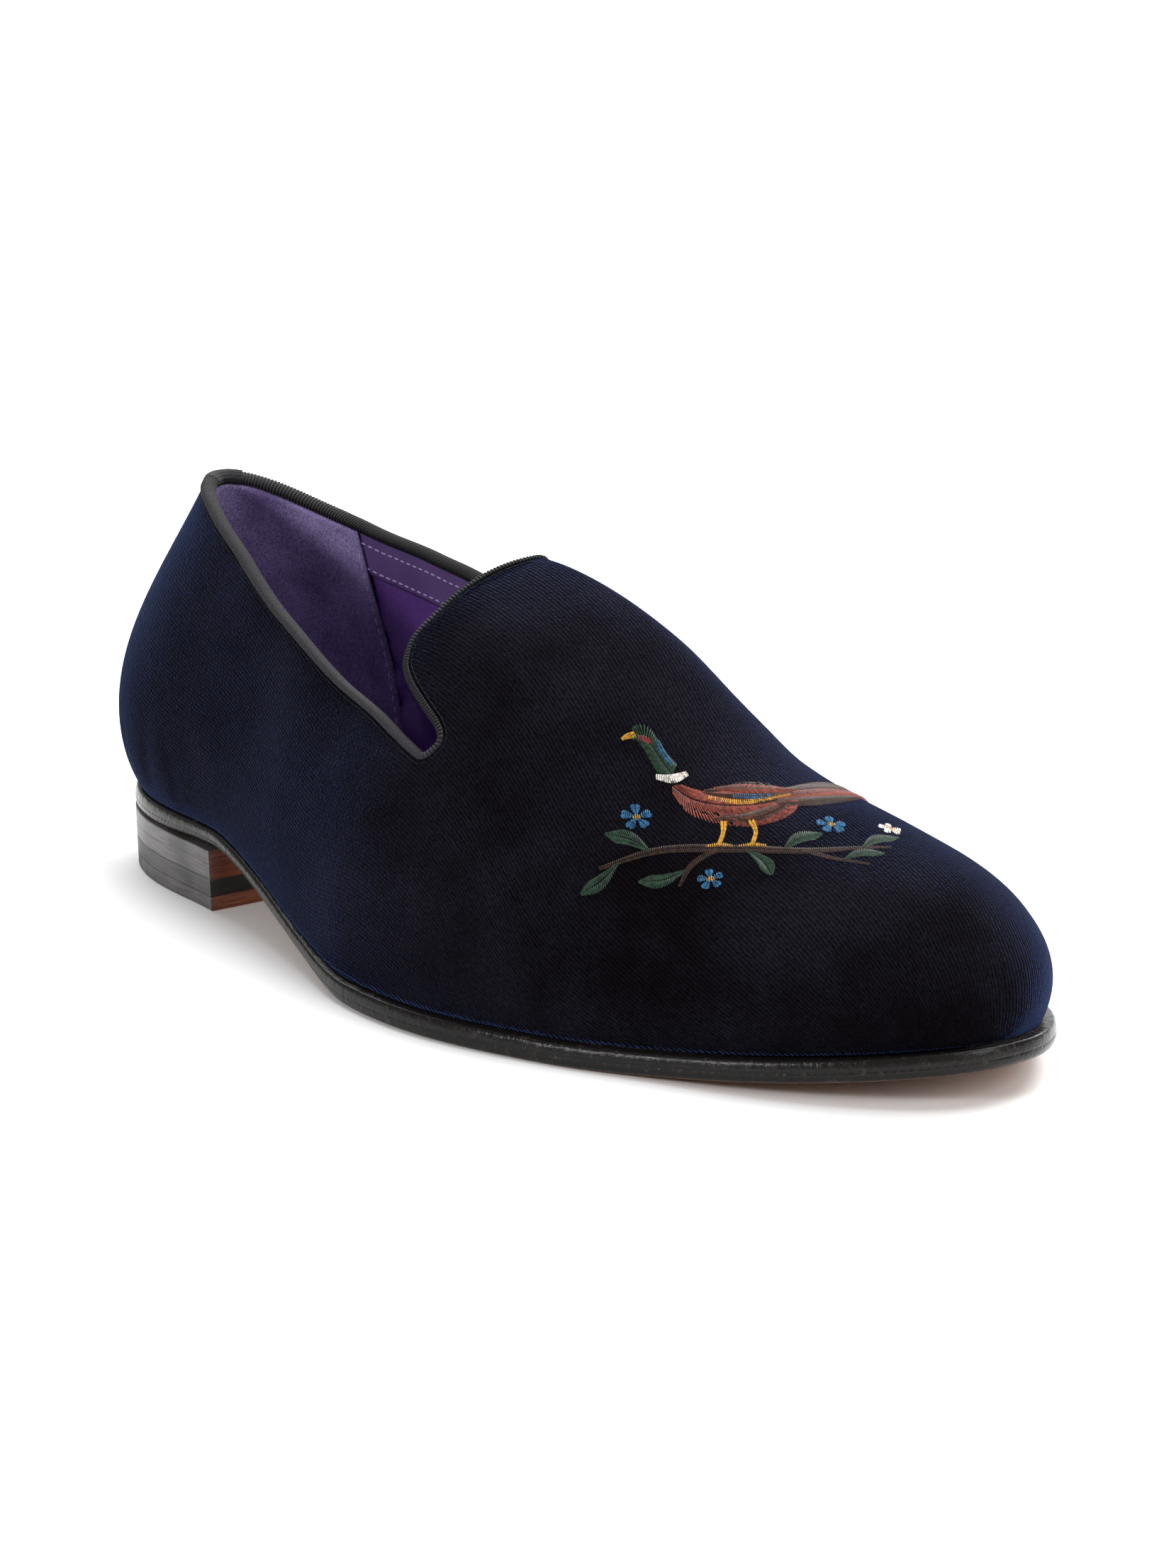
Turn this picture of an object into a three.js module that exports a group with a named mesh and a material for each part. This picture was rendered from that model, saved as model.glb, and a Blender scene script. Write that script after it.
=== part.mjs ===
// A right shoe: a gentleman's velvet house slipper cut as a loafer. Millimetres, +Z up, +X to the toe,
// +Y to the inner side of the foot. The origin is on the floor, under the middle of the heel.
import * as THREE from "three";
import { mergeVertices } from "three/addons/utils/BufferGeometryUtils.js";

// Driving dimensions.
const SOLE_LENGTH = 296;
const BALL_WIDTH = 108;
const TOE_SWING = 25.5;
const SOLE_THICKNESS = 5.5;
const SOLE_LEDGE = 3;
const WAIST_LEDGE = 1.2;
const WAIST_BEVEL = 2.4;
const HEEL_LENGTH = 63;
const TOP_PIECE = 3.6;
const RUBBER_LIFT = 4.4;
const LEATHER_LIFTS = 7.4;
const QUARTER_TIP = 20;
const HEEL_TAPER = 0.5;
const TOE_SPRING = 8.5;
const INSTEP_HEIGHT = 90;
const COLLAR_HEIGHT = 100;
const HEEL_BULGE = 10;
const COLLAR_LEAN = 22;
const TOE_BULGE = 1.5;
const WALL = 2.2;
const GAP = 0.3;
const INSOLE_THICKNESS = 2.6;
const INSOLE_CLEARANCE = 1.3;
const BINDING_THICKNESS = 0.9;
const BINDING_DEPTH = 2.8;

// Sections of the last from the back of the heel to the tip of the toe. at is a share of the sole's
// length; lateral, medial, crest and full are shares of the ball width: the sole's half widths, the
// sideways place of the crown line and how far the side swells past the feather line. crown is a share of
// the instep height. belly and shoulder set how high and how far in the section turns over.
const SECTIONS = [
  { at: 0.00, lateral: 0.296, medial: 0.290, crown: 1.138, crest: 0.009, full: 0.080, belly: 0.15, shoulder: 0.54 },
  { at: 0.08, lateral: 0.287, medial: 0.295, crown: 1.138, crest: 0.009, full: 0.080, belly: 0.15, shoulder: 0.54 },
  { at: 0.17, lateral: 0.284, medial: 0.290, crown: 1.148, crest: 0.010, full: 0.080, belly: 0.17, shoulder: 0.55 },
  { at: 0.28, lateral: 0.327, medial: 0.270, crown: 1.120, crest: 0.028, full: 0.066, belly: 0.24, shoulder: 0.58 },
  { at: 0.40, lateral: 0.406, medial: 0.262, crown: 1.015, crest: 0.066, full: 0.054, belly: 0.33, shoulder: 0.62 },
  { at: 0.50, lateral: 0.492, medial: 0.302, crown: 1.004, crest: 0.108, full: 0.044, belly: 0.40, shoulder: 0.64 },
  { at: 0.60, lateral: 0.529, medial: 0.385, crown: 0.883, crest: 0.108, full: 0.046, belly: 0.45, shoulder: 0.60 },
  { at: 0.70, lateral: 0.502, medial: 0.468, crown: 0.635, crest: 0.089, full: 0.054, belly: 0.49, shoulder: 0.56 },
  { at: 0.80, lateral: 0.436, medial: 0.480, crown: 0.514, crest: 0.073, full: 0.060, belly: 0.54, shoulder: 0.54 },
  { at: 0.90, lateral: 0.394, medial: 0.430, crown: 0.429, crest: 0.053, full: 0.085, belly: 0.58, shoulder: 0.57 },
  { at: 1.00, lateral: 0.340, medial: 0.340, crown: 0.402, crest: 0.035, full: 0.115, belly: 0.61, shoulder: 0.62 },
];

// The top line from the back to the notch: at is a share of the sole's length, lateral and medial are
// heights above the floor as shares of the collar height.
const TOP_LINE = [
  { at: 0.000, lateral: 1.000, medial: 1.000 },
  { at: 0.100, lateral: 0.956, medial: 0.924 },
  { at: 0.200, lateral: 0.887, medial: 0.886 },
  { at: 0.300, lateral: 0.779, medial: 0.875 },
  { at: 0.400, lateral: 0.684, medial: 0.840 },
  { at: 0.470, lateral: 0.650, medial: 0.730 },
  { at: 0.538, lateral: 0.599, medial: 0.662 },
];

// The tongue's edge from the notch up to the crown line: up is a share of the way round the section from
// the notch to the crown, at is a share of the sole's length.
const TONGUE_EDGE = [
  { up: 0.000, at: 0.538 },
  { up: 0.045, at: 0.545 },
  { up: 0.090, at: 0.547 },
  { up: 0.125, at: 0.537 },
  { up: 0.160, at: 0.517 },
  { up: 0.215, at: 0.487 },
  { up: 0.255, at: 0.472 },
  { up: 0.325, at: 0.461 },
  { up: 0.520, at: 0.463 },
  { up: 0.800, at: 0.469 },
  { up: 0.930, at: 0.472 },
  { up: 1.000, at: 0.473 },
];

// Shares of the length at which the sole's lines turn.
const TREAD_START = 0.50;
const TREAD_END = 0.72;
const SPRING_POWER = 1.7;
const WAIST_POWER = 0.8;
const LEDGE_START = 0.33;
const LEDGE_LENGTH = 0.22;
const BEVEL_START = 0.1;
const BEVEL_END = 0.38;
const BEVEL_EASE = 0.15;
const SWING_START = 0.385;
const SWING_LENGTH = 0.65;
const HEEL_ROUND = 0.17;
const TOE_ROUND = 0.26;
const TOE_POWER = 2.2;
const TOE_BOX = 0.16;
const TOE_BOX_POWER = 2.3;
const COUNTER_LENGTH = 0.30;
const BULGE_PEAK = 27 / 4;

const clamp = (v) => Math.min(1, Math.max(0, v));
const smooth = (v) => clamp(v) ** 2 * (3 - 2 * clamp(v));

// A smooth curve through the rows of a table: cubic pieces whose slopes come from the neighbouring rows.
function curve(rows, key, value, x) {
  const n = rows.length;
  let i = 0;
  while (i < n - 2 && x > rows[i + 1][key]) i += 1;
  const slope = (k) => {
    const rise = (j) => (rows[j + 1][value] - rows[j][value]) / (rows[j + 1][key] - rows[j][key]);
    if (k === 0) return rise(0);
    if (k === n - 1) return rise(n - 2);
    const before = rows[k][key] - rows[k - 1][key];
    const after = rows[k + 1][key] - rows[k][key];
    return (rise(k - 1) * after + rise(k) * before) / (before + after);
  };
  const width = rows[i + 1][key] - rows[i][key];
  const t = clamp((x - rows[i][key]) / width);
  return rows[i][value] * (1 + 2 * t) * (1 - t) ** 2
    + slope(i) * width * t * (1 - t) ** 2
    + rows[i + 1][value] * t * t * (3 - 2 * t)
    + slope(i + 1) * width * t * t * (t - 1);
}
const section = (value, s) => curve(SECTIONS, "at", value, s);

const HEEL_HEIGHT = TOP_PIECE + RUBBER_LIFT + LEATHER_LIFTS;
const HEEL_MIDDLE = HEEL_LENGTH / 2;
const BREAST = HEEL_LENGTH / SOLE_LENGTH;

// Height of the sole's upper face: level over the heel, down through the waist, level at the tread and
// up to the toe.
function soleTop(s) {
  const down = clamp((s - BREAST) / (TREAD_START - BREAST)) ** WAIST_POWER;
  const waist = HEEL_HEIGHT * (1 - smooth(down));
  const spring = TOE_SPRING * clamp((s - TREAD_END) / (1 - TREAD_END)) ** SPRING_POWER;
  return SOLE_THICKNESS + waist + spring;
}

// Half widths close to nothing at the back of the heel and at the toe, as an ellipse and a fuller curve.
function rounding(s) {
  const back = Math.sqrt(Math.max(0, 1 - (1 - clamp(s / HEEL_ROUND)) ** 2));
  const front = Math.max(0, 1 - clamp((s - 1 + TOE_ROUND) / TOE_ROUND) ** TOE_POWER) ** (1 / TOE_POWER);
  return back * front;
}
const toeBox = (s) => Math.max(0, 1 - clamp((s - 1 + TOE_BOX) / TOE_BOX) ** TOE_BOX_POWER) ** (1 / TOE_BOX_POWER);
const middleLine = (s) => TOE_SWING * smooth((s - SWING_START) / SWING_LENGTH);
const ledge = (s) => WAIST_LEDGE + (SOLE_LEDGE - WAIST_LEDGE) * smooth((s - LEDGE_START) / LEDGE_LENGTH);
const bevel = (s) => smooth((s - BEVEL_START) / BEVEL_EASE) * (1 - smooth((s - BEVEL_END) / BEVEL_EASE));

// A point of the sole's outline, drawn in by a distance; side is -1 on the outer side, 1 on the inner.
function outline(s, side, inset) {
  const half = BALL_WIDTH * section(side < 0 ? "lateral" : "medial", s) - inset;
  const x = inset + s * (SOLE_LENGTH - 2 * inset);
  return [x - HEEL_MIDDLE, middleLine(s) + side * half * rounding(s)];
}

// A point of the upper's outer face. s runs along the foot and t round the section, from the feather line
// at 0 to the crown line at 1, on a cubic curve. The back leans in to the collar and swells below it.
function upperPoint(s, t, side) {
  const close = rounding(s);
  const inset = ledge(s);
  const foot = outline(s, side, inset);
  const height = INSTEP_HEIGHT * section("crown", s) * toeBox(s);
  const crest = middleLine(s) + BALL_WIDTH * section("crest", s) * close;
  const full = foot[1] + side * BALL_WIDTH * section("full", s) * close;
  const over = crest + section("shoulder", s) * (foot[1] - crest);
  const a = (1 - t) ** 3;
  const b = 3 * t * (1 - t) ** 2;
  const c = 3 * t * t * (1 - t);
  const d = t ** 3;
  const y = a * foot[1] + b * full + c * over + d * crest;
  const rise = (b * section("belly", s) + c + d) * height;
  const up = rise / (COLLAR_HEIGHT - HEEL_HEIGHT - SOLE_THICKNESS);
  const lean = COLLAR_LEAN * up ** 2 - BULGE_PEAK * HEEL_BULGE * up * Math.max(0, 1 - up) ** 2;
  const swell = TOE_BULGE * Math.sin(Math.PI * clamp((2 * rise) / (INSTEP_HEIGHT * 0.5)));
  const x = foot[0] + lean * (1 - smooth(s / COUNTER_LENGTH)) + swell * smooth((s - 0.8) / 0.2);
  return new THREE.Vector3(x, y, soleTop(s) + GAP + rise);
}

// The share round the section at which the upper reaches a height.
function shareAt(s, side, height) {
  let low = 0;
  let high = 1;
  for (let step = 0; step < 30; step += 1) {
    const middle = (low + high) / 2;
    if (upperPoint(s, middle, side).z < height) low = middle;
    else high = middle;
  }
  return (low + high) / 2;
}
const NOTCH = TOP_LINE[TOP_LINE.length - 1].at;
const topShare = (s, side) => {
  const height = COLLAR_HEIGHT * curve(TOP_LINE, "at", side < 0 ? "lateral" : "medial", s);
  return shareAt(s, side, height);
};
const tongueAt = (up) => curve(TONGUE_EDGE, "up", "at", up);

// Steps from 0 to 1, closer together at the start, at the end, or evenly. The quarter has one at the breast
// of the heel, where the sole turns down.
const steps = (count, shape) => Array.from({ length: count + 1 }, (_, i) => shape(i / count));
const fromBack = steps(20, (v) => 1 - Math.cos((v * Math.PI) / 2));
const ALONG_QUARTER = fromBack.concat(BREAST / NOTCH).sort((a, b) => a - b);
const UP_QUARTER = steps(9, (v) => v);
const UP_TONGUE = steps(22, (v) => v ** 1.4);
const TO_TOE = steps(20, (v) => Math.sin((v * Math.PI) / 2));

// A closed mesh from loose triangles: equal corners are joined and triangles that have shrunk are dropped.
function solid(corners) {
  const loose = new THREE.BufferGeometry();
  loose.setAttribute("position", new THREE.Float32BufferAttribute(corners, 3));
  const joined = mergeVertices(loose, 1e-4);
  const kept = [];
  const index = joined.index.array;
  for (let i = 0; i < index.length; i += 3) {
    const [a, b, c] = [index[i], index[i + 1], index[i + 2]];
    if (a !== b && b !== c && c !== a) kept.push(a, b, c);
  }
  joined.setIndex(kept);
  return joined;
}

// Triangles of a grid of points, rows by columns, with the faces on the chosen side.
function sheet(rows, flip) {
  const out = [];
  for (let i = 0; i < rows.length - 1; i += 1) {
    for (let j = 0; j < rows[i].length - 1; j += 1) {
      const [a, b, c, d] = [rows[i][j], rows[i + 1][j], rows[i + 1][j + 1], rows[i][j + 1]];
      const faces = flip ? [a, c, b, a, d, c] : [a, b, c, a, c, d];
      faces.forEach((p) => out.push(p.x, p.y, p.z));
    }
  }
  return out;
}

// The outer face as two grids a side: the quarter under the top line, and the vamp from below the notch
// and from the tongue's edge to the tip of the toe.
function upperGrids(side) {
  const quarter = ALONG_QUARTER.map((u) => {
    const s = NOTCH * u;
    const top = topShare(s, side);
    return UP_QUARTER.map((v) => upperPoint(s, v * top, side));
  });
  const notchShare = topShare(NOTCH, side);
  const below = UP_QUARTER.slice(0, -1).map((v) => [NOTCH, v * notchShare]);
  const edge = UP_TONGUE.map((up) => [tongueAt(up), notchShare + (1 - notchShare) * up]);
  const vamp = below.concat(edge).map(([s, t]) => TO_TOE.map((u) => upperPoint(s + (1 - s) * u, t, side)));
  return { quarter, vamp };
}

// The upper: its outer face, the same face drawn in by the wall, and the rims between the two.
function makeUpper() {
  const outer = [];
  const grids = [-1, 1].map((side) => ({ side, ...upperGrids(side) }));
  grids.forEach(({ side, quarter, vamp }) => {
    outer.push(...sheet(quarter, side > 0));
    outer.push(...sheet(vamp, side < 0));
  });
  const shell = solid(outer);
  const position = shell.getAttribute("position");
  const index = shell.index.array;
  const normals = Array.from({ length: position.count }, () => new THREE.Vector3());
  const at = (i) => new THREE.Vector3().fromBufferAttribute(position, i);
  const edges = new Map();
  for (let i = 0; i < index.length; i += 3) {
    const [a, b, c] = [index[i], index[i + 1], index[i + 2]];
    const face = at(b).sub(at(a)).cross(at(c).sub(at(a)));
    [a, b, c].forEach((k) => normals[k].add(face));
    [[a, b], [b, c], [c, a]].forEach(([p, q]) => edges.set(`${p},${q}`, [p, q]));
  }
  const rims = [...edges.values()].filter(([p, q]) => !edges.has(`${q},${p}`));
  const feather = new Set();
  rims.flat().forEach((k) => {
    const p = at(k);
    const s = clamp((p.x + HEEL_MIDDLE) / SOLE_LENGTH);
    if (p.z < soleTop(s) + GAP + 2) feather.add(k);
  });
  const inner = normals.map((normal, k) => {
    if (feather.has(k)) normal.z = 0;
    return at(k).addScaledVector(normal.normalize(), -WALL);
  });
  const corners = [];
  const put = (p) => corners.push(p.x, p.y, p.z);
  for (let i = 0; i < index.length; i += 3) {
    const [a, b, c] = [index[i], index[i + 1], index[i + 2]];
    [at(a), at(b), at(c), inner[a], inner[c], inner[b]].forEach(put);
  }
  rims.forEach(([p, q]) => [at(q), at(p), inner[p], at(q), inner[p], inner[q]].forEach(put));
  return solid(corners);
}

// The throat's edge as one loop with the upper's normal at each point: up the outer side of the tongue,
// over the crown, down the inner side and round the heel.
function throatLoop() {
  const half = (side) => {
    const notchShare = topShare(NOTCH, side);
    const back = ALONG_QUARTER.map((u) => [NOTCH * u, topShare(NOTCH * u, side)]);
    const tongue = UP_TONGUE.slice(1).map((up) => [tongueAt(up), notchShare + (1 - notchShare) * up]);
    return back.concat(tongue).map(([s, t]) => ({ s, t, side }));
  };
  const loop = half(-1).concat(half(1).reverse().slice(1, -1));
  const nudge = 1e-3;
  return loop.map(({ s, t, side }) => {
    const here = upperPoint(s, t, side);
    const alongS = upperPoint(s + nudge, t, side).sub(upperPoint(Math.max(s - nudge, 1e-5), t, side));
    const alongT = upperPoint(s, t + nudge, side).sub(upperPoint(s, t - nudge, side));
    const normal = alongS.cross(alongT).normalize().multiplyScalar(-side);
    if (s < 1e-6 || t > 1 - 1e-6) normal.setY(0).normalize();
    return { here, normal };
  });
}

// The binding: a ribbon folded over the throat's edge, a U in section, clear of the wall by the gap.
function makeBinding() {
  const loop = throatLoop();
  const count = loop.length;
  const out = GAP + BINDING_THICKNESS;
  const inside = -WALL - GAP;
  const bevel = BINDING_THICKNESS * 0.6;
  const profile = [
    [GAP, -BINDING_DEPTH], [out, -BINDING_DEPTH], [out, out - bevel], [out - bevel, out],
    [inside - BINDING_THICKNESS + bevel, out], [inside - BINDING_THICKNESS, out - bevel],
    [inside - BINDING_THICKNESS, -BINDING_DEPTH], [inside, -BINDING_DEPTH], [inside, GAP], [GAP, GAP],
  ];
  const rings = loop.map(({ here, normal }, i) => {
    const before = loop[(i + count - 1) % count].here;
    const after = loop[(i + 1) % count].here;
    const along = after.clone().sub(before).normalize();
    const up = normal.clone().cross(along).normalize();
    return profile.map(([a, c]) => here.clone().addScaledVector(normal, a).addScaledVector(up, c));
  });
  const rows = rings.concat([rings[0]]).map((ring) => ring.concat([ring[0]]));
  return solid(sheet(rows, false));
}

// A solid between two faces that share the sole's outline. stations are shares of the length; profile
// lists, from the lower to the upper face, the share of the thickness, how far the edge is drawn in and
// the share of the waist's bevel that it takes.
function makePlate(stations, inset, profile, lower, upper, across) {
  const spread = steps(across, (v) => v);
  const rows = stations.map((s) => {
    const edgePoint = (side, [share, draw, undercut = 0]) => {
      const [x, y] = outline(s, side, inset + draw + WAIST_BEVEL * undercut * bevel(s));
      return new THREE.Vector3(x, y, lower(s) + (upper(s) - lower(s)) * share);
    };
    const bridge = (from, to) => spread.slice(1, -1).map((v) => from.clone().lerp(to, v));
    const outerSide = profile.map((row) => edgePoint(-1, row));
    const innerSide = profile.map((row) => edgePoint(1, row)).reverse();
    const top = bridge(outerSide[outerSide.length - 1], innerSide[0]);
    const bottom = bridge(innerSide[innerSide.length - 1], outerSide[0]);
    return [...outerSide, ...top, ...innerSide, ...bottom, outerSide[0]];
  });
  const corners = sheet(rows, false);
  [rows[0], rows[rows.length - 1]].forEach((row, last) => {
    const width = Math.abs(row[0].y - row[row.length - 2].y);
    if (width < GAP) return;
    const middle = row.slice(1).reduce((sum, p) => sum.add(p), new THREE.Vector3()).divideScalar(row.length - 1);
    for (let i = 0; i < row.length - 1; i += 1) {
      const face = last ? [middle, row[i + 1], row[i]] : [middle, row[i], row[i + 1]];
      face.forEach((p) => corners.push(p.x, p.y, p.z));
    }
  });
  return solid(corners);
}

// Stations that crowd towards the round ends, with the breast of the heel and the ends of the tread among
// them so that the flat faces end there.
const stationsBetween = (from, to, count, shape) => steps(count, shape).map((v) => from + (to - from) * v);
const easeIn = (v) => 1 - Math.cos((v * Math.PI) / 2);
const easeOut = (v) => Math.sin((v * Math.PI) / 2);
const even = (v) => v;
const soleStations = [
  ...stationsBetween(0, BREAST, 9, easeIn),
  ...stationsBetween(BREAST, TREAD_START, 10, even).slice(1),
  ...stationsBetween(TREAD_START, TREAD_END, 3, even).slice(1),
  ...stationsBetween(TREAD_END, 1, 13, easeOut).slice(1),
];
const soleEdge = [[0, 1.3, 1], [0.22, 0.3, 0.5], [0.55, 0, 0.1], [0.85, 0.25], [1, 0.8]];
const squareEdge = [[0, 0], [1, 0]];

function makeOutsole() {
  return makePlate(soleStations, 0, soleEdge, (s) => soleTop(s) - SOLE_THICKNESS, soleTop, 4);
}

function makeInsole() {
  const inset = SOLE_LEDGE + WALL + INSOLE_CLEARANCE;
  const lower = (s) => soleTop(s) + GAP;
  return makePlate(soleStations, inset, squareEdge, lower, (s) => lower(s) + INSOLE_THICKNESS, 2);
}

// One layer of the heel between two heights and two stations, drawn in a little towards the floor.
function makeHeelLayer(low, high, from, to) {
  const shape = from > 0 ? even : easeIn;
  const taper = (z) => HEEL_TAPER * (1 - z / HEEL_HEIGHT);
  const edge = [[0, taper(low)], [1, taper(high)]];
  return makePlate(stationsBetween(from, to, 10, shape), 0, edge, () => low, () => high, 1);
}

function makeMesh(name, geometry, colour, roughness) {
  geometry.computeVertexNormals();
  const material = new THREE.MeshStandardMaterial({ color: colour, roughness, metalness: 0 });
  const mesh = new THREE.Mesh(geometry, material);
  mesh.name = name;
  return mesh;
}

const tipShare = QUARTER_TIP / SOLE_LENGTH;
const liftFloor = TOP_PIECE + RUBBER_LIFT;
const shoe = new THREE.Group();
shoe.name = "slipper_loafer_right";
shoe.add(
  makeMesh("upper", makeUpper(), 0x16203f, 0.95),
  makeMesh("collar_binding", makeBinding(), 0x2f3036, 0.8),
  makeMesh("insole", makeInsole(), 0x3f2c5c, 0.7),
  makeMesh("outsole", makeOutsole(), 0x1d1a19, 0.35),
  makeMesh("heel_leather_lifts", makeHeelLayer(liftFloor, HEEL_HEIGHT, 0, BREAST), 0x4a4648, 0.4),
  makeMesh("heel_rubber_lift", makeHeelLayer(TOP_PIECE, liftFloor, 0, BREAST), 0x1b1b1d, 0.6),
  makeMesh("top_piece_leather", makeHeelLayer(0, TOP_PIECE, tipShare, BREAST), 0x54372a, 0.5),
  makeMesh("top_piece_rubber", makeHeelLayer(0, TOP_PIECE, 0, tipShare), 0x19191a, 0.7),
);

export default shoe;
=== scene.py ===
"""A gentleman's velvet house slipper for the right foot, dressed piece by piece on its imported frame."""
import math
import bmesh
import bpy
import numpy as np
from mathutils import Matrix, Vector


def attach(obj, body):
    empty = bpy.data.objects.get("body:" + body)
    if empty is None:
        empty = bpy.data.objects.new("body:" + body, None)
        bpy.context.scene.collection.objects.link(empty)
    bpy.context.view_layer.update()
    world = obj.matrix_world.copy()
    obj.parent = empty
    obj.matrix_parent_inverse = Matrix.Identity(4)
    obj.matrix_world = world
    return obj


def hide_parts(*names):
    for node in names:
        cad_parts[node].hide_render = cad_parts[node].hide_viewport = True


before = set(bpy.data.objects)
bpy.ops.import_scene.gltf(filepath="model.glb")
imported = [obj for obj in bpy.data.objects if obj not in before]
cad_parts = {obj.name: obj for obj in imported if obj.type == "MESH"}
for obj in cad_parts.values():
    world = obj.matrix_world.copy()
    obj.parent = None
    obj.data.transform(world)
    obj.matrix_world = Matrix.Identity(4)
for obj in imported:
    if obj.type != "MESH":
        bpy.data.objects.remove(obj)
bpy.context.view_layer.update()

# The camera: a long studio lens a little over a metre away, seen over the outer side of the shoe and
# towards the toe, as in the photograph.
PHOTO_WIDTH = 1659
PHOTO_HEIGHT = 2212
SENSOR = 36.0
CAMERA_AZIMUTH = 52.57
CAMERA_HEIGHT_ANGLE = 15.0
CAMERA_ROLL = -0.05
CAMERA_DISTANCE = 1.22
CAMERA_FOCUS = 7427
CAMERA_TARGET = Vector((0.1437, 0.0, 0.0512))


def place_camera():
    """The camera looks back along the direction of the two angles, turned by the roll."""
    turn = math.radians(CAMERA_AZIMUTH)
    lift = math.radians(CAMERA_HEIGHT_ANGLE)
    back = Vector((math.sin(turn) * math.cos(lift), -math.cos(turn) * math.cos(lift), math.sin(lift)))
    level = Vector((math.cos(turn), math.sin(turn), 0))
    above = back.cross(level)
    roll = math.radians(CAMERA_ROLL)
    right = level * math.cos(roll) + above * math.sin(roll)
    above = above * math.cos(roll) - level * math.sin(roll)
    lens = bpy.data.cameras.new("studio_camera")
    lens.sensor_width = SENSOR
    lens.lens = CAMERA_FOCUS * SENSOR / PHOTO_HEIGHT
    lens.clip_start = 0.01
    camera = bpy.data.objects.new("studio_camera", lens)
    turned = Matrix((right, above, back)).transposed().to_4x4()
    camera.matrix_world = Matrix.Translation(CAMERA_TARGET + back * CAMERA_DISTANCE) @ turned
    bpy.context.scene.collection.objects.link(camera)
    bpy.context.scene.camera = camera


place_camera()

# The insole and its sock: a leather board cut to the foot and tacked under the last, with a full sock of
# purple goat suede pasted over it. It dips a little under the heel and the ball from the paste and the foot.
MM = 0.001
SOLE_LENGTH = 296
BALL_WIDTH = 108
TOE_SWING = 25.5
SWING_START = 0.385
SWING_LENGTH = 0.65
SOLE_THICKNESS = 5.5
SOLE_LEDGE = 3
WAIST_LEDGE = 1.2
LEDGE_START = 0.33
LEDGE_LENGTH = 0.22
HEEL_HEIGHT = 15.4
HEEL_LENGTH = 63
TOE_SPRING = 8.5
BREAST = HEEL_LENGTH / SOLE_LENGTH
TREAD_START = 0.50
TREAD_END = 0.72
SPRING_POWER = 1.7
WAIST_POWER = 0.8
HEEL_ROUND = 0.17
TOE_ROUND = 0.26
TOE_POWER = 2.2
GAP = 0.3
MERGE = 2e-6
WALL = 2.2
INSOLE_CLEARANCE = 1.3
INSOLE_THICKNESS = 2.6
SOCK_DISH = 0.5
# Sections of the last: at is a share of the sole's length, the rest shares of the ball width or of the
# instep height.
SECTIONS = {
    "at": [0.000, 0.080, 0.170, 0.280, 0.400, 0.500, 0.600, 0.700, 0.800, 0.900, 1.000],
    "lateral": [0.296, 0.287, 0.284, 0.327, 0.406, 0.492, 0.529, 0.502, 0.436, 0.394, 0.340],
    "medial": [0.290, 0.295, 0.290, 0.270, 0.262, 0.302, 0.385, 0.468, 0.480, 0.430, 0.340],
    "crown": [1.138, 1.138, 1.148, 1.120, 1.015, 1.004, 0.883, 0.635, 0.514, 0.429, 0.402],
    "crest": [0.009, 0.009, 0.010, 0.028, 0.066, 0.108, 0.108, 0.089, 0.073, 0.053, 0.035],
    "full": [0.080, 0.080, 0.080, 0.066, 0.054, 0.044, 0.046, 0.054, 0.060, 0.085, 0.115],
    "belly": [0.150, 0.150, 0.170, 0.240, 0.330, 0.400, 0.450, 0.490, 0.540, 0.580, 0.610],
    "shoulder": [0.540, 0.540, 0.550, 0.580, 0.620, 0.640, 0.600, 0.560, 0.540, 0.570, 0.620],
}


def clamp(value):
    return np.clip(value, 0, 1)


def smooth(value):
    return clamp(value) ** 2 * (3 - 2 * clamp(value))


def curve(places, values, x):
    """Cubic pieces through the places, each with a slope weighed from its two neighbours."""
    places = np.asarray(places, float)
    values = np.asarray(values, float)
    width = np.diff(places)
    rise = np.diff(values) / width
    slope = np.concatenate([rise[:1], (rise[:-1] * width[1:] + rise[1:] * width[:-1])
                            / (width[:-1] + width[1:]), rise[-1:]])
    i = np.clip(np.searchsorted(places, x) - 1, 0, len(width) - 1)
    t = clamp((x - places[i]) / width[i])
    ends = values[i] * (1 + 2 * t) * (1 - t) ** 2 + values[i + 1] * t * t * (3 - 2 * t)
    return ends + width[i] * (slope[i] * t * (1 - t) ** 2 + slope[i + 1] * t * t * (t - 1))


def section(name, s):
    return curve(SECTIONS["at"], SECTIONS[name], s)


def sole_top(s):
    """Level over the heel, down through the waist, level at the tread, and up to the toe."""
    waist = HEEL_HEIGHT * (1 - smooth(clamp((s - BREAST) / (TREAD_START - BREAST)) ** WAIST_POWER))
    spring = TOE_SPRING * clamp((s - TREAD_END) / (1 - TREAD_END)) ** SPRING_POWER
    return SOLE_THICKNESS + waist + spring


def rounding(s):
    """An ellipse at the back of the heel times a fuller curve at the toe."""
    back = np.sqrt(np.maximum(0, 1 - (1 - clamp(s / HEEL_ROUND)) ** 2))
    front = np.maximum(0, 1 - clamp((s - 1 + TOE_ROUND) / TOE_ROUND) ** TOE_POWER) ** (1 / TOE_POWER)
    return back * front


def middle_line(s):
    return TOE_SWING * smooth((s - SWING_START) / SWING_LENGTH)


def ledge(s):
    """How far the sole stands out round the upper: close at the heel and waist, full at the tread."""
    return WAIST_LEDGE + (SOLE_LEDGE - WAIST_LEDGE) * smooth((s - LEDGE_START) / LEDGE_LENGTH)


def outline(s, side, inset):
    """A point of the sole's outline, drawn in by inset; side is -1 on the outer side, 1 on the inner."""
    half = BALL_WIDTH * section("lateral" if side < 0 else "medial", s) - inset
    x = inset + s * (SOLE_LENGTH - 2 * inset) - HEEL_LENGTH / 2
    return x, middle_line(s) + side * half * rounding(s)


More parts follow.
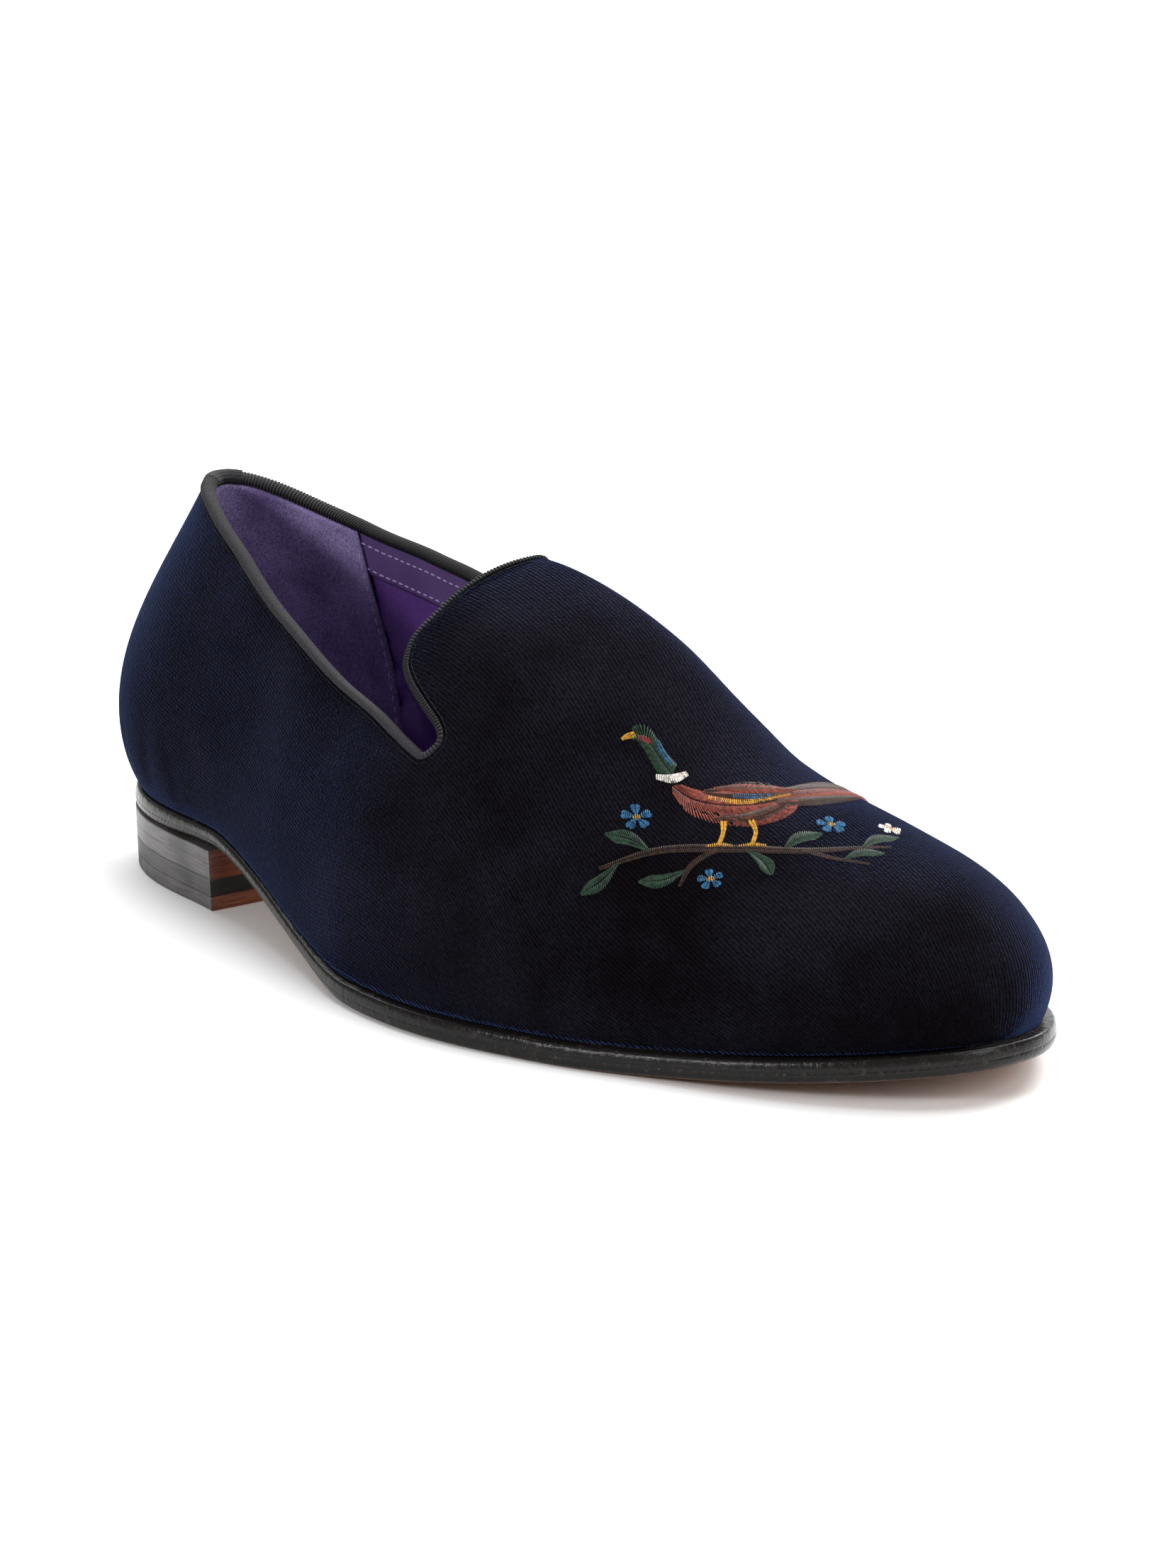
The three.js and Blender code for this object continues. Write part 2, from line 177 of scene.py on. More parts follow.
def make_piece(name, grids, material, slot, *replaced):
    """Joins grids into one mesh that rides on the shoe. A grid is its points in millimetres, rows by columns,
    a pair of cloth coordinates for each, and whether its faces are turned over."""
    points, cloth, faces, start = [], [], [], 0
    for grid, marks, turned in grids:
        rows, columns = grid.shape[:2]
        corner = start + np.arange(rows * columns).reshape(rows, columns)
        ring = [corner[:-1, :-1], corner[1:, :-1], corner[1:, 1:], corner[:-1, 1:]]
        faces.append(np.stack(ring[::-1] if turned else ring, -1).reshape(-1, 4))
        points.append(grid.reshape(-1, 3))
        cloth.append(marks.reshape(-1, 2))
        start += rows * columns
    faces = np.concatenate(faces)
    mesh = bpy.data.meshes.new(name)
    mesh.from_pydata(np.concatenate(points) * MM, [], faces)
    chart = mesh.uv_layers.new(name="cloth")
    chart.data.foreach_set("uv", (np.concatenate(cloth) * MM)[faces.ravel()].ravel())
    shape = bmesh.new()
    shape.from_mesh(mesh)
    bmesh.ops.remove_doubles(shape, verts=shape.verts, dist=MERGE)
    shape.to_mesh(mesh)
    shape.free()
    mesh.shade_smooth()
    mesh.materials.append(material)
    piece = bpy.data.objects.new(name, mesh)
    bpy.context.scene.collection.objects.link(piece)
    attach(piece, "root")
    if replaced:
        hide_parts(*replaced)
    return piece


def plate(stations, edge, lower, upper, inset, across):
    """A closed ring of points round each station: up the outer edge's profile, over the top, down the inner
    edge and back underneath. edge lists a share of the thickness and how far the edge is drawn in there;
    across is the number of steps over the top and underneath."""
    rows = []
    share = np.array([row[0] for row in edge])
    draw = np.array([row[1] for row in edge])
    spread = np.linspace(0, 1, across + 1)[1:-1]
    for s in stations:
        height = lower(s) + (upper(s) - lower(s)) * share
        sides = []
        for side in (-1, 1):
            x, y = outline(s, side, inset + draw)
            sides.append(np.stack([x, y, height], -1))
        outer, inner = sides[0], sides[1][::-1]
        top = outer[-1] + (inner[0] - outer[-1]) * spread[:, None]
        bottom = inner[-1] + (outer[0] - inner[-1]) * spread[:, None]
        rows.append(np.concatenate([outer, top, inner, bottom, outer[:1]]))
    return np.stack(rows)


def colour(code):
    """An sRGB hex code as linear red, green, blue and one."""
    share = np.array([int(code[i:i + 2], 16) / 255 for i in (1, 3, 5)])
    linear = np.where(share <= 0.04045, share / 12.92, ((share + 0.055) / 1.055) ** 2.4)
    return (*linear.tolist(), 1.0)


def add_node(tree, kind, links, **settings):
    """Adds a node, sets its settings, and sets or links each of the sockets named in links."""
    made = tree.nodes.new(kind)
    for name, value in settings.items():
        setattr(made, name, value)
    for socket, value in links.items():
        if isinstance(value, bpy.types.NodeSocket):
            tree.links.new(value, made.inputs[socket])
        else:
            made.inputs[socket].default_value = value
    return made


def new_material(name):
    """An empty material with its output; returns it with its node tree."""
    material = bpy.data.materials.new(name)
    material.use_nodes = True
    material.node_tree.nodes.clear()
    return material, material.node_tree


def finish_material(tree, surface):
    add_node(tree, "ShaderNodeOutputMaterial", {"Surface": surface.outputs[0]})


def suede(name, dark, light):
    """Suede: the buffed flesh side of goatskin. Its short nap gives a soft rim of light, brushed patches a
    few millimetres wide and a fine grain of about half a millimetre."""
    material, tree = new_material(name)
    place = add_node(tree, "ShaderNodeTexCoord", {}).outputs["Object"]
    patch = add_node(tree, "ShaderNodeTexNoise", {"Vector": place, "Scale": 55, "Detail": 3})
    grain = add_node(tree, "ShaderNodeTexNoise", {"Vector": place, "Scale": 1900, "Detail": 2})
    mixed = add_node(tree, "ShaderNodeMath", {0: patch.outputs[0], 1: grain.outputs[0]}, operation="MULTIPLY")
    share = add_node(tree, "ShaderNodeMapRange", {0: mixed.outputs[0], 1: 0.14, 2: 0.38})
    tint = add_node(tree, "ShaderNodeMix", {0: share.outputs[0], 6: colour(dark), 7: colour(light)}, data_type="RGBA")
    bump = add_node(tree, "ShaderNodeBump", {"Height": grain.outputs[0], "Strength": 0.35, "Distance": 0.0003})
    skin = add_node(tree, "ShaderNodeBsdfPrincipled", {
        "Base Color": tint.outputs[2], "Roughness": 0.92, "Specular IOR Level": 0.2, "Normal": bump.outputs[0],
        "Sheen Weight": 0.6, "Sheen Roughness": 0.45, "Sheen Tint": colour(light)})
    finish_material(tree, skin)
    return material


def insole_stations(count):
    """Shares of the length that crowd towards the two round ends."""
    turn = np.linspace(0, math.pi, count)
    return 0.5 - 0.5 * np.cos(turn)


def make_sock():
    """The board's outline between two heights, with a rounded upper edge and a shallow dish on top."""
    inset = SOLE_LEDGE + WALL + INSOLE_CLEARANCE
    edge = [[0, 0], [0.7, 0], [0.93, 0.3], [1, 0.9]]
    under = lambda s: sole_top(s) + GAP
    rows = plate(insole_stations(90), edge, under, lambda s: under(s) + INSOLE_THICKNESS, inset, 14)
    middle = rows[:, :4, :].mean(1)[:, None] * 0.5 + rows[:, 17:21, :].mean(1)[:, None] * 0.5
    reach = np.linalg.norm(rows - middle, axis=-1)
    widest = reach.max(1, keepdims=True) + 1e-6
    top = np.zeros(rows.shape[1])
    top[4:17] = 1
    rows[..., 2] -= SOCK_DISH * top * (1 - (reach / widest) ** 2)
    return rows


insock_suede = suede("goat_suede", "#2b1f3d", "#4a3764")
sock = make_sock()
make_piece("insole_sock", [(sock, sock[..., :2], False)], insock_suede, "suede_lining", "insole")

# The upper: velvet backed with cotton and closed at the back and the vamp, lasted over the wooden form and
# drawn under the insole. It is one shell, cut away at the collar with a notch on each side of the tongue.
INSTEP_HEIGHT = 90
COLLAR_HEIGHT = 100
HEEL_BULGE = 10
BULGE_PEAK = 27 / 4
COLLAR_LEAN = 22
COUNTER_LENGTH = 0.30
TOE_BULGE = 1.5
TOE_BOX = 0.16
TOE_BOX_POWER = 2.3
VELVET = 1.0
ROW_PITCH = 0.95
ROW_SLANT = 9
# The top line from the back to the notch, as shares of the collar's height on the two sides.
TOP_LINE = {
    "at": [0.000, 0.100, 0.200, 0.300, 0.400, 0.470, 0.538],
    "lateral": [1.000, 0.956, 0.887, 0.779, 0.684, 0.650, 0.599],
    "medial": [1.000, 0.924, 0.886, 0.875, 0.840, 0.730, 0.662],
}
NOTCH = TOP_LINE["at"][-1]
# The tongue's edge: up is the share of the way from the notch to the crown line.
TONGUE_EDGE = {
    "up": [0.000, 0.045, 0.090, 0.125, 0.160, 0.215, 0.255, 0.325, 0.520, 0.800, 0.930, 1.000],
    "at": [0.538, 0.545, 0.547, 0.537, 0.517, 0.487, 0.472, 0.461, 0.463, 0.469, 0.472, 0.473],
}
# Soft troughs and ridges left by lasting and wear: where along the foot and round the section, on which
# side, how deep, how far they reach along and across in millimetres, and how they are turned.
CREASES = [
    {"at": 0.56, "round": 0.62, "side": -1, "depth": 0.7, "along": 26, "across": 7, "turn": 28},
    {"at": 0.50, "round": 0.88, "side": -1, "depth": 0.8, "along": 22, "across": 9, "turn": -12},
    {"at": 0.66, "round": 0.50, "side": -1, "depth": 0.6, "along": 20, "across": 8, "turn": 62},
    {"at": 0.71, "round": 0.66, "side": -1, "depth": 0.5, "along": 18, "across": 6, "turn": 75},
    {"at": 0.80, "round": 0.30, "side": -1, "depth": -0.4, "along": 26, "across": 8, "turn": 10},
    {"at": 0.12, "round": 0.15, "side": -1, "depth": 0.45, "along": 9, "across": 2.4, "turn": 84},
    {"at": 0.16, "round": 0.13, "side": -1, "depth": 0.4, "along": 8, "across": 2.2, "turn": 96},
    {"at": 0.07, "round": 0.14, "side": -1, "depth": 0.4, "along": 9, "across": 2.2, "turn": 88},
    {"at": 0.33, "round": 0.30, "side": -1, "depth": 0.6, "along": 24, "across": 7, "turn": 20},
    {"at": 0.58, "round": 0.60, "side": 1, "depth": 0.7, "along": 24, "across": 7, "turn": -30},
    {"at": 0.68, "round": 0.58, "side": 1, "depth": 0.5, "along": 20, "across": 7, "turn": -70},
    {"at": 0.34, "round": 0.35, "side": 1, "depth": 0.6, "along": 22, "across": 7, "turn": -15},
    {"at": 0.10, "round": 0.14, "side": 1, "depth": 0.45, "along": 9, "across": 2.4, "turn": 92},
    {"at": 0.15, "round": 0.15, "side": 1, "depth": 0.4, "along": 8, "across": 2.2, "turn": 85},
]


def toe_box(s):
    return np.maximum(0, 1 - clamp((s - 1 + TOE_BOX) / TOE_BOX) ** TOE_BOX_POWER) ** (1 / TOE_BOX_POWER)


def upper_point(s, t, side):
    """A point of the last's surface: s along the foot and t round the section on a cubic curve from the
    feather line to the crown line. The back leans in to the collar and swells below it."""
    close = rounding(s)
    foot_x, foot_y = outline(s, side, ledge(s))
    height = INSTEP_HEIGHT * section("crown", s) * toe_box(s)
    crest = middle_line(s) + BALL_WIDTH * section("crest", s) * close
    full = foot_y + side * BALL_WIDTH * section("full", s) * close
    over = crest + section("shoulder", s) * (foot_y - crest)
    a, b, c, d = (1 - t) ** 3, 3 * t * (1 - t) ** 2, 3 * t * t * (1 - t), t ** 3
    y = a * foot_y + b * full + c * over + d * crest
    rise = (b * section("belly", s) + c + d) * height
    up = rise / (COLLAR_HEIGHT - HEEL_HEIGHT - SOLE_THICKNESS)
    lean = COLLAR_LEAN * up ** 2 - BULGE_PEAK * HEEL_BULGE * up * np.maximum(0, 1 - up) ** 2
    swell = TOE_BULGE * np.sin(math.pi * clamp(2 * rise / (INSTEP_HEIGHT * 0.5)))
    x = foot_x + lean * (1 - smooth(s / COUNTER_LENGTH)) + swell * smooth((s - 0.8) / 0.2)
    return np.stack([x, y, sole_top(s) + GAP + rise], -1)


def upper_normal(s, t, side):
    """The outward direction: the cross product of short steps along the foot and round the section."""
    step = 1e-3
    s = np.clip(s, 2 * step, 1 - 4 * step)
    t = np.clip(t, step, 1 - step)
    along = upper_point(s + step, t, side) - upper_point(s - step, t, side)
    round_it = upper_point(s, t + step, side) - upper_point(s, t - step, side)
    normal = np.cross(along, round_it) * -side
    return normal / np.linalg.norm(normal, axis=-1, keepdims=True)


def top_share(s, side):
    """The share round the section at which the upper reaches its top line, found by halving."""
    height = COLLAR_HEIGHT * curve(TOP_LINE["at"], TOP_LINE["lateral" if side < 0 else "medial"], s)
    low = np.zeros(np.shape(s))
    high = np.ones(np.shape(s))
    for _ in range(30):
        middle = (low + high) / 2
        under = upper_point(s, middle, side)[..., 2] < height
        low = np.where(under, middle, low)
        high = np.where(under, high, middle)
    return (low + high) / 2


def cloth_of(s, t, side):
    """Cloth coordinates in millimetres: along the sole, and the length round the section to the crown."""
    share = t[..., None] + (1 - t[..., None]) * np.linspace(0, 1, 13)
    path = upper_point(np.broadcast_to(s[..., None], share.shape), share, side)
    girth = np.linalg.norm(np.diff(path, axis=-2), axis=-1).sum(-1)
    return np.stack([s * SOLE_LENGTH, side * girth], -1)


def creases(cloth):
    """The sum of the listed troughs, each a turned oval that fades out as a bell curve."""
    depth = np.zeros(cloth.shape[:-1])
    for fold in CREASES:
        middle = cloth_of(np.array([fold["at"]]), np.array([fold["round"]]), fold["side"])[0]
        turn = math.radians(fold["turn"])
        u = cloth[..., 0] - middle[0]
        v = cloth[..., 1] - middle[1]
        along = (u * math.cos(turn) + v * math.sin(turn)) / fold["along"]
        across = (v * math.cos(turn) - u * math.sin(turn)) / fold["across"]
        depth += fold["depth"] * np.exp(-along ** 2 - across ** 2)
    return depth


def quarter_shares(side, rows, columns, top=1.0):
    """s and t over the quarter, from the back to the notch and from the feather line to the top line."""
    s = NOTCH * (1 - np.cos(np.linspace(0, math.pi / 2, rows)))[:, None] + np.zeros(columns)
    t = np.linspace(0, 1, columns) * top * top_share(s[:, :1], side)
    return s, t


def vamp_shares(side, below, above, columns):
    """s and t over the vamp, from below the notch and up the tongue's edge, each row out to the toe."""
    notch = top_share(np.array(NOTCH), side)
    up = np.linspace(0, 1, above) ** 1.6
    start = np.concatenate([np.full(below, NOTCH), curve(TONGUE_EDGE["up"], TONGUE_EDGE["at"], up)])
    t = np.concatenate([np.linspace(0, 1, below, endpoint=False) * notch, notch + (1 - notch) * up])
    reach = np.sin(np.linspace(0, math.pi / 2, columns))
    s = start[:, None] + (1 - start[:, None]) * reach
    return s, t[:, None] + np.zeros(columns)


def velvet_grid(side, s, t, turned):
    cloth = cloth_of(s, t, side)
    points = upper_point(s, t, side)
    fade = smooth(t / 0.05)
    points -= upper_normal(s, t, side) * (creases(cloth) * fade)[..., None]
    return points, cloth, turned


def velvet():
    """Cotton velvet: a deep navy pile, nearly black where one looks into it and blue where light grazes its
    tips. The pile stands in fine slanting rows, and strokes of the hand leave paler and darker patches."""
    material, tree = new_material("navy_cotton_velvet")
    place = add_node(tree, "ShaderNodeTexCoord", {}).outputs["Object"]
    cloth = add_node(tree, "ShaderNodeUVMap", {}, uv_map="cloth").outputs[0]
    rows = add_node(tree, "ShaderNodeMapping", {"Vector": cloth, "Rotation": (0, 0, math.radians(ROW_SLANT))})
    twill = add_node(tree, "ShaderNodeTexWave", {
        "Vector": rows.outputs[0], "Scale": 2 * math.pi / (20 * ROW_PITCH * MM), "Distortion": 2.4,
        "Detail": 2, "Detail Scale": 2.5}, wave_type="BANDS", bands_direction="Y")
    pile = add_node(tree, "ShaderNodeTexNoise", {"Vector": place, "Scale": 1300, "Detail": 3, "Roughness": 0.75})
    patch = add_node(tree, "ShaderNodeTexNoise", {"Vector": place, "Scale": 28, "Detail": 4, "Roughness": 0.6})
    ridge = add_node(tree, "ShaderNodeMath", {0: twill.outputs[1], 1: 0.32}, operation="MULTIPLY")
    relief = add_node(tree, "ShaderNodeMath", {0: ridge.outputs[0], 1: pile.outputs[0]}, operation="ADD")
    bump = add_node(tree, "ShaderNodeBump", {"Height": relief.outputs[0], "Strength": 0.8, "Distance": 0.0006})
    deep = add_node(tree, "ShaderNodeMapRange", {0: patch.outputs[0], 1: 0.35, 2: 0.65})
    tint = add_node(tree, "ShaderNodeMix", {0: deep.outputs[0], 6: colour("#060406"), 7: colour("#121118")},
                    data_type="RGBA")
    # Painted shade: the base colour is darker in the hollows between the rows of pile and lighter on their tops,
    # mottled with the pile's grain.
    relief_shade_and_grain = add_node(tree, "ShaderNodeMapRange", {0: relief.outputs[0], 1: 0.4, 2: 0.95, 3: 0.25, 4: 1.9})
    body = add_node(tree, "ShaderNodeMix", {0: 1.0, 6: tint.outputs[2], 7: relief_shade_and_grain.outputs[0]},
                    data_type="RGBA", blend_type="MULTIPLY")
    skin = add_node(tree, "ShaderNodeBsdfPrincipled", {
        "Base Color": body.outputs[2], "Roughness": 0.9, "Specular IOR Level": 0.02, "Normal": bump.outputs[0],
        "Sheen Weight": 0.9, "Sheen Roughness": 0.18, "Sheen Tint": colour("#48609a")})
    finish_material(tree, skin)
    return material


def make_upper():
    grids = []
    for side in (-1, 1):
        grids.append(velvet_grid(side, *quarter_shares(side, 84, 37), side > 0))
        grids.append(velvet_grid(side, *vamp_shares(side, 36, 64, 150), side < 0))
    piece = make_piece("velvet_upper", grids, velvet(), "velvet", "upper")
    wall = piece.modifiers.new("cloth_thickness", "SOLIDIFY")
    wall.thickness = VELVET * MM
    wall.offset = -1
    return piece


make_upper()

# The lining, closed to the velvet at the throat: a quilted satin forepart, a smooth kid facing sewn round
# the top line with two rows of stitches, and a suede heel grip over both at the back.
SATIN_DEPTH = 1.15
SATIN_THICKNESS = 0.35
QUILT_PITCH = 15
QUILT_PUFF = 1.7
FACING_WIDTH = 13
FACING_DEPTH = 1.55
FACING_THICKNESS = 0.6
GRIP_DEPTH = 2.5
GRIP_THICKNESS = 0.7
STITCH_LENGTH = 2.0
STITCH_GAP = 0.9
STITCH_WIDTH = 0.42
# The front edge of the heel grip: up is the share of the height up to the top line, at its place.
GRIP_EDGE = {"up": [0.00, 0.41, 0.60, 0.80, 1.00], "at": [0.214, 0.208, 0.199, 0.180, 0.161]}


def sunk(s, t, side, depth):
    """Points under the last's surface by a depth."""
    return upper_point(s, t, side) - upper_normal(s, t, side) * np.asarray(depth)[..., None]


def quilting(cloth):
    """Diamond pillows: the square root of two crossed sine waves, with small puckers along the seams."""
    u, v = cloth[..., 0] / QUILT_PITCH, cloth[..., 1] / QUILT_PITCH
    one = np.abs(np.sin(math.pi * (u + v) * 0.8))
    two = np.abs(np.sin(math.pi * (u - v) * 0.8))
    pillow = np.sqrt(one * two)
    pucker = np.sin(u * 31 + 3 * np.sin(v * 17)) * np.sin(v * 27 + 2 * np.sin(u * 13))
    return QUILT_PUFF * pillow + 0.5 * pucker * (1 - pillow)


def lining_grid(side, s, t, flat, turned):
    """The satin, puffed out where it isn't flat: it is flat at the feather line and under the facing."""
    cloth = cloth_of(s, t, side)
    puffed = smooth(t / 0.06) * (1 - flat)
    return sunk(s, t, side, SATIN_DEPTH + SATIN_THICKNESS + quilting(cloth) * puffed), cloth, turned


def smooth_leather(name, dark, light, sheen):
    """Kid leather: drum dyed and lightly glazed, with a pebble grain of about a third of a millimetre."""
    material, tree = new_material(name)
    place = add_node(tree, "ShaderNodeTexCoord", {}).outputs["Object"]
    grain = add_node(tree, "ShaderNodeTexVoronoi", {"Vector": place, "Scale": 1700})
    shade = add_node(tree, "ShaderNodeTexNoise", {"Vector": place, "Scale": 60, "Detail": 3})
    tint = add_node(tree, "ShaderNodeMix", {0: shade.outputs[0], 6: colour(dark), 7: colour(light)}, data_type="RGBA")
    bump = add_node(tree, "ShaderNodeBump", {"Height": grain.outputs[0], "Strength": 0.25, "Distance": 0.0002})
    skin = add_node(tree, "ShaderNodeBsdfPrincipled", {
        "Base Color": tint.outputs[2], "Roughness": sheen, "Specular IOR Level": 0.4, "Normal": bump.outputs[0]})
    finish_material(tree, skin)
    return material


def satin():
    """Duchess satin: long floats of filament lie one way, so a bright streak runs across each pillow."""
    material, tree = new_material("purple_duchess_satin")
    cloth = add_node(tree, "ShaderNodeUVMap", {}, uv_map="cloth").outputs[0]
    stretched = add_node(tree, "ShaderNodeMapping", {"Vector": cloth, "Scale": (400, 3600, 1)})
    floats = add_node(tree, "ShaderNodeTexNoise", {"Vector": stretched.outputs[0], "Scale": 1, "Detail": 2})
    tint = add_node(tree, "ShaderNodeMix", {0: floats.outputs[0], 6: colour("#351d50"), 7: colour("#6c4296")},
                    data_type="RGBA")
    bump = add_node(tree, "ShaderNodeBump", {"Height": floats.outputs[0], "Strength": 0.15, "Distance": 0.0001})
    skin = add_node(tree, "ShaderNodeBsdfPrincipled", {
        "Base Color": tint.outputs[2], "Roughness": 0.27, "Specular IOR Level": 0.9, "Anisotropic": 0.5,
        "Normal": bump.outputs[0], "Sheen Weight": 0.25, "Sheen Tint": colour("#a77fd0")})
    finish_material(tree, skin)
    return material


def thicken(piece, thickness):
    """A sheet gets its own thickness towards the inside of the shoe."""
    wall = piece.modifiers.new("sheet_thickness", "SOLIDIFY")
    wall.thickness = thickness * MM
    wall.offset = -1
    return piece


def make_satin_lining():
    grids = []
    for side in (-1, 1):
        s, t = quarter_shares(side, 90, 37)
        flat = smooth((t / t[:, -1:] - 0.64) / 0.14)
        grids.append(lining_grid(side, s, t, flat, side > 0))
        notch = t[-1, -1]
        s, t = vamp_shares(side, 36, 60, 120)
        flat = smooth((t / notch - 0.64) / 0.14) * (1 - smooth((s - s[:, :1]) / 0.07))
        grids.append(lining_grid(side, np.minimum(s, 0.97), t, flat, side < 0))
    return thicken(make_piece("satin_lining", grids, satin(), "suede_lining"), -SATIN_THICKNESS)


def throat_shares(side, count):
    """s and t along one half of the throat: from the back along the top line to the notch, then up the
    tongue's edge to the crown line."""
    back = NOTCH * np.linspace(0, 1, count)
    quarter = top_share(back, side)
    up = np.linspace(0, 1, count)[1:] ** 1.6
    notch = quarter[-1]
    s = np.concatenate([back, curve(TONGUE_EDGE["up"], TONGUE_EDGE["at"], up)])
    return s, np.concatenate([quarter, notch + (1 - notch) * up])


def even_throat(side, spacing):
    """The half throat's s and t at equal steps of its length in millimetres, and those lengths."""
    s, t = throat_shares(side, 400)
    length = np.concatenate([[0], np.cumsum(np.linalg.norm(np.diff(upper_point(s, t, side), axis=0), axis=1))])
    count = max(2, round(length[-1] / spacing))
    stations = np.linspace(0, length[-1], count + 1)
    return np.interp(stations, length, s), np.interp(stations, length, t), stations


def below_edge(s, t, side, widths):
    """s and t at given distances from the throat's edge, square to it over the surface."""
    step = 1e-3
    per_s = np.linalg.norm(upper_point(s + step, t, side) - upper_point(np.maximum(s - step, 0), t, side),
                           axis=-1) / (s + step - np.maximum(s - step, 0))
    per_t = np.linalg.norm(upper_point(s, t, side) - upper_point(s, t - step, side), axis=-1) / step
    run = np.gradient(s) * per_s
    climb = np.gradient(t) * per_t
    size = np.hypot(run, climb) + 1e-9
    into_s = climb / size / per_s
    into_t = -run / size / per_t
    return s[:, None] + into_s[:, None] * widths, t[:, None] + into_t[:, None] * widths


def make_facing(leather):
    """A band under the throat's edge, from the grip's front edge to the tongue."""
    grids = []
    for side in (-1, 1):
        s, t, _ = even_throat(side, 2.0)
        kept = s > GRIP_EDGE["at"][-1] - 0.006
        kept[len(s) // 2:] = True
        wide_s, wide_t = below_edge(s, t, side, np.linspace(0.2, FACING_WIDTH, 14))
        wide_s, wide_t = wide_s[kept], np.minimum(wide_t[kept], 1)
        points = sunk(wide_s, wide_t, side, np.full(wide_s.shape, FACING_DEPTH + FACING_THICKNESS))
        grids.append((points, cloth_of(wide_s, wide_t, side), side < 0))
    return make_piece("facing", grids, leather, "suede_lining")


def make_heel_grip(leather):
    """A suede sheet round the back, from its front edge on one side to that on the other."""
    grids = []
    up = np.linspace(0, 1, 60)
    for side in (-1, 1):
        front = curve(GRIP_EDGE["up"], GRIP_EDGE["at"], up)
        s = front * (1 - np.cos(np.linspace(0, math.pi / 2, 70)))[:, None]
        t = up * 0.985 * top_share(s, side)
        grids.append((sunk(s, t, side, np.full(s.shape, GRIP_DEPTH + GRIP_THICKNESS)), cloth_of(s, t, side), side > 0))
    return make_piece("heel_grip", grids, leather, "suede_lining")


def stitch_line(name, s, t, side, depth, thread, spacing, slot):
    """A row of stitches under or over the surface: each is a short six-sided bead, thick in the middle."""
    points = sunk(s, t, side, np.full(s.shape, depth))
    length = np.concatenate([[0], np.cumsum(np.linalg.norm(np.diff(points, axis=0), axis=1))])
    count = int(length[-1] / spacing)
    starts = np.arange(count) * spacing
    share = np.linspace(0, 1, 5)
    middle = np.stack([np.interp(starts[:, None] + share * STITCH_LENGTH, length, points[:, k]) for k in range(3)], -1)
    along = np.gradient(middle, axis=1)
    along /= np.linalg.norm(along, axis=-1, keepdims=True) + 1e-9
    up = np.cross(along, np.array([0.3, 0.5, 0.8]))
    up /= np.linalg.norm(up, axis=-1, keepdims=True)
    across = np.cross(along, up)
    turn = np.linspace(0, 2 * math.pi, 7)
    girth = STITCH_WIDTH / 2 * np.sqrt(np.maximum(0.04, 1 - (2 * share - 1) ** 4))
    ring = (up[:, :, None] * np.cos(turn)[:, None] + across[:, :, None] * np.sin(turn)[:, None])
    beads = middle[:, :, None] + ring * girth[None, :, None, None]
    grids = [(bead, bead[..., :2], True) for bead in beads]
    return make_piece(name, grids, thread, slot)


def cotton_thread(name, code):
    """Mercerised cotton thread: round, slightly glossy strands."""
    material, tree = new_material(name)
    place = add_node(tree, "ShaderNodeTexCoord", {}).outputs["Object"]
    twist = add_node(tree, "ShaderNodeTexNoise", {"Vector": place, "Scale": 2600, "Detail": 1})
    bump = add_node(tree, "ShaderNodeBump", {"Height": twist.outputs[0], "Strength": 0.3, "Distance": 0.0001})
    skin = add_node(tree, "ShaderNodeBsdfPrincipled", {
        "Base Color": colour(code), "Roughness": 0.7, "Specular IOR Level": 0.15, "Normal": bump.outputs[0]})
    finish_material(tree, skin)
    return material


def make_lining():
    make_satin_lining()
    kid = smooth_leather("glazed_kid", "#4e3a68", "#6d5688", 0.45)
    grip_suede = suede("grip_suede", "#5c4d78", "#a191bd")
    thicken(make_facing(kid), -FACING_THICKNESS)
    thicken(make_heel_grip(grip_suede), -GRIP_THICKNESS)
    thread = cotton_thread("lining_thread", "#b49fce")
    spacing = STITCH_LENGTH + STITCH_GAP
    for side, name in ((-1, "outer"), (1, "inner")):
        s, t, _ = even_throat(side, 2.0)
        lower_s, lower_t = below_edge(s, t, side, np.array([FACING_WIDTH - 1.6, 4.6]))
        kept = (s > GRIP_EDGE["at"][-1] + 0.004) & (np.arange(len(s)) < len(s) * 0.86)
        for row, place in enumerate(("lower", "upper")):
            stitch_line(f"facing_stitches_{place}_{name}", lower_s[kept, row], lower_t[kept, row], side,
                        FACING_DEPTH + FACING_THICKNESS + 0.1, thread, spacing, "suede_lining")
        up = np.linspace(0.03, 0.95, 60)
        seam = curve(GRIP_EDGE["up"], GRIP_EDGE["at"], up) - 0.006
        stitch_line(f"grip_stitches_{name}", seam, up * top_share(seam, side), side,
                    GRIP_DEPTH + GRIP_THICKNESS + 0.1, thread, spacing, "suede_lining")


make_lining()

# The binding: a charcoal grosgrain ribbon folded over the raw edge all round the throat and sewn through.
# Its ribs run across the edge; at the centre back its end is folded in and laid over its start.
RIBBON = 0.4
RIB_PITCH = 0.9
RIB_HEIGHT = 0.28
RIB_STEPS = 6
BINDING_DEPTH = 0.9
LINING_SIDE = -WALL - 0.75
JOIN_LENGTH = 12
CORNER_EASE = 1.6


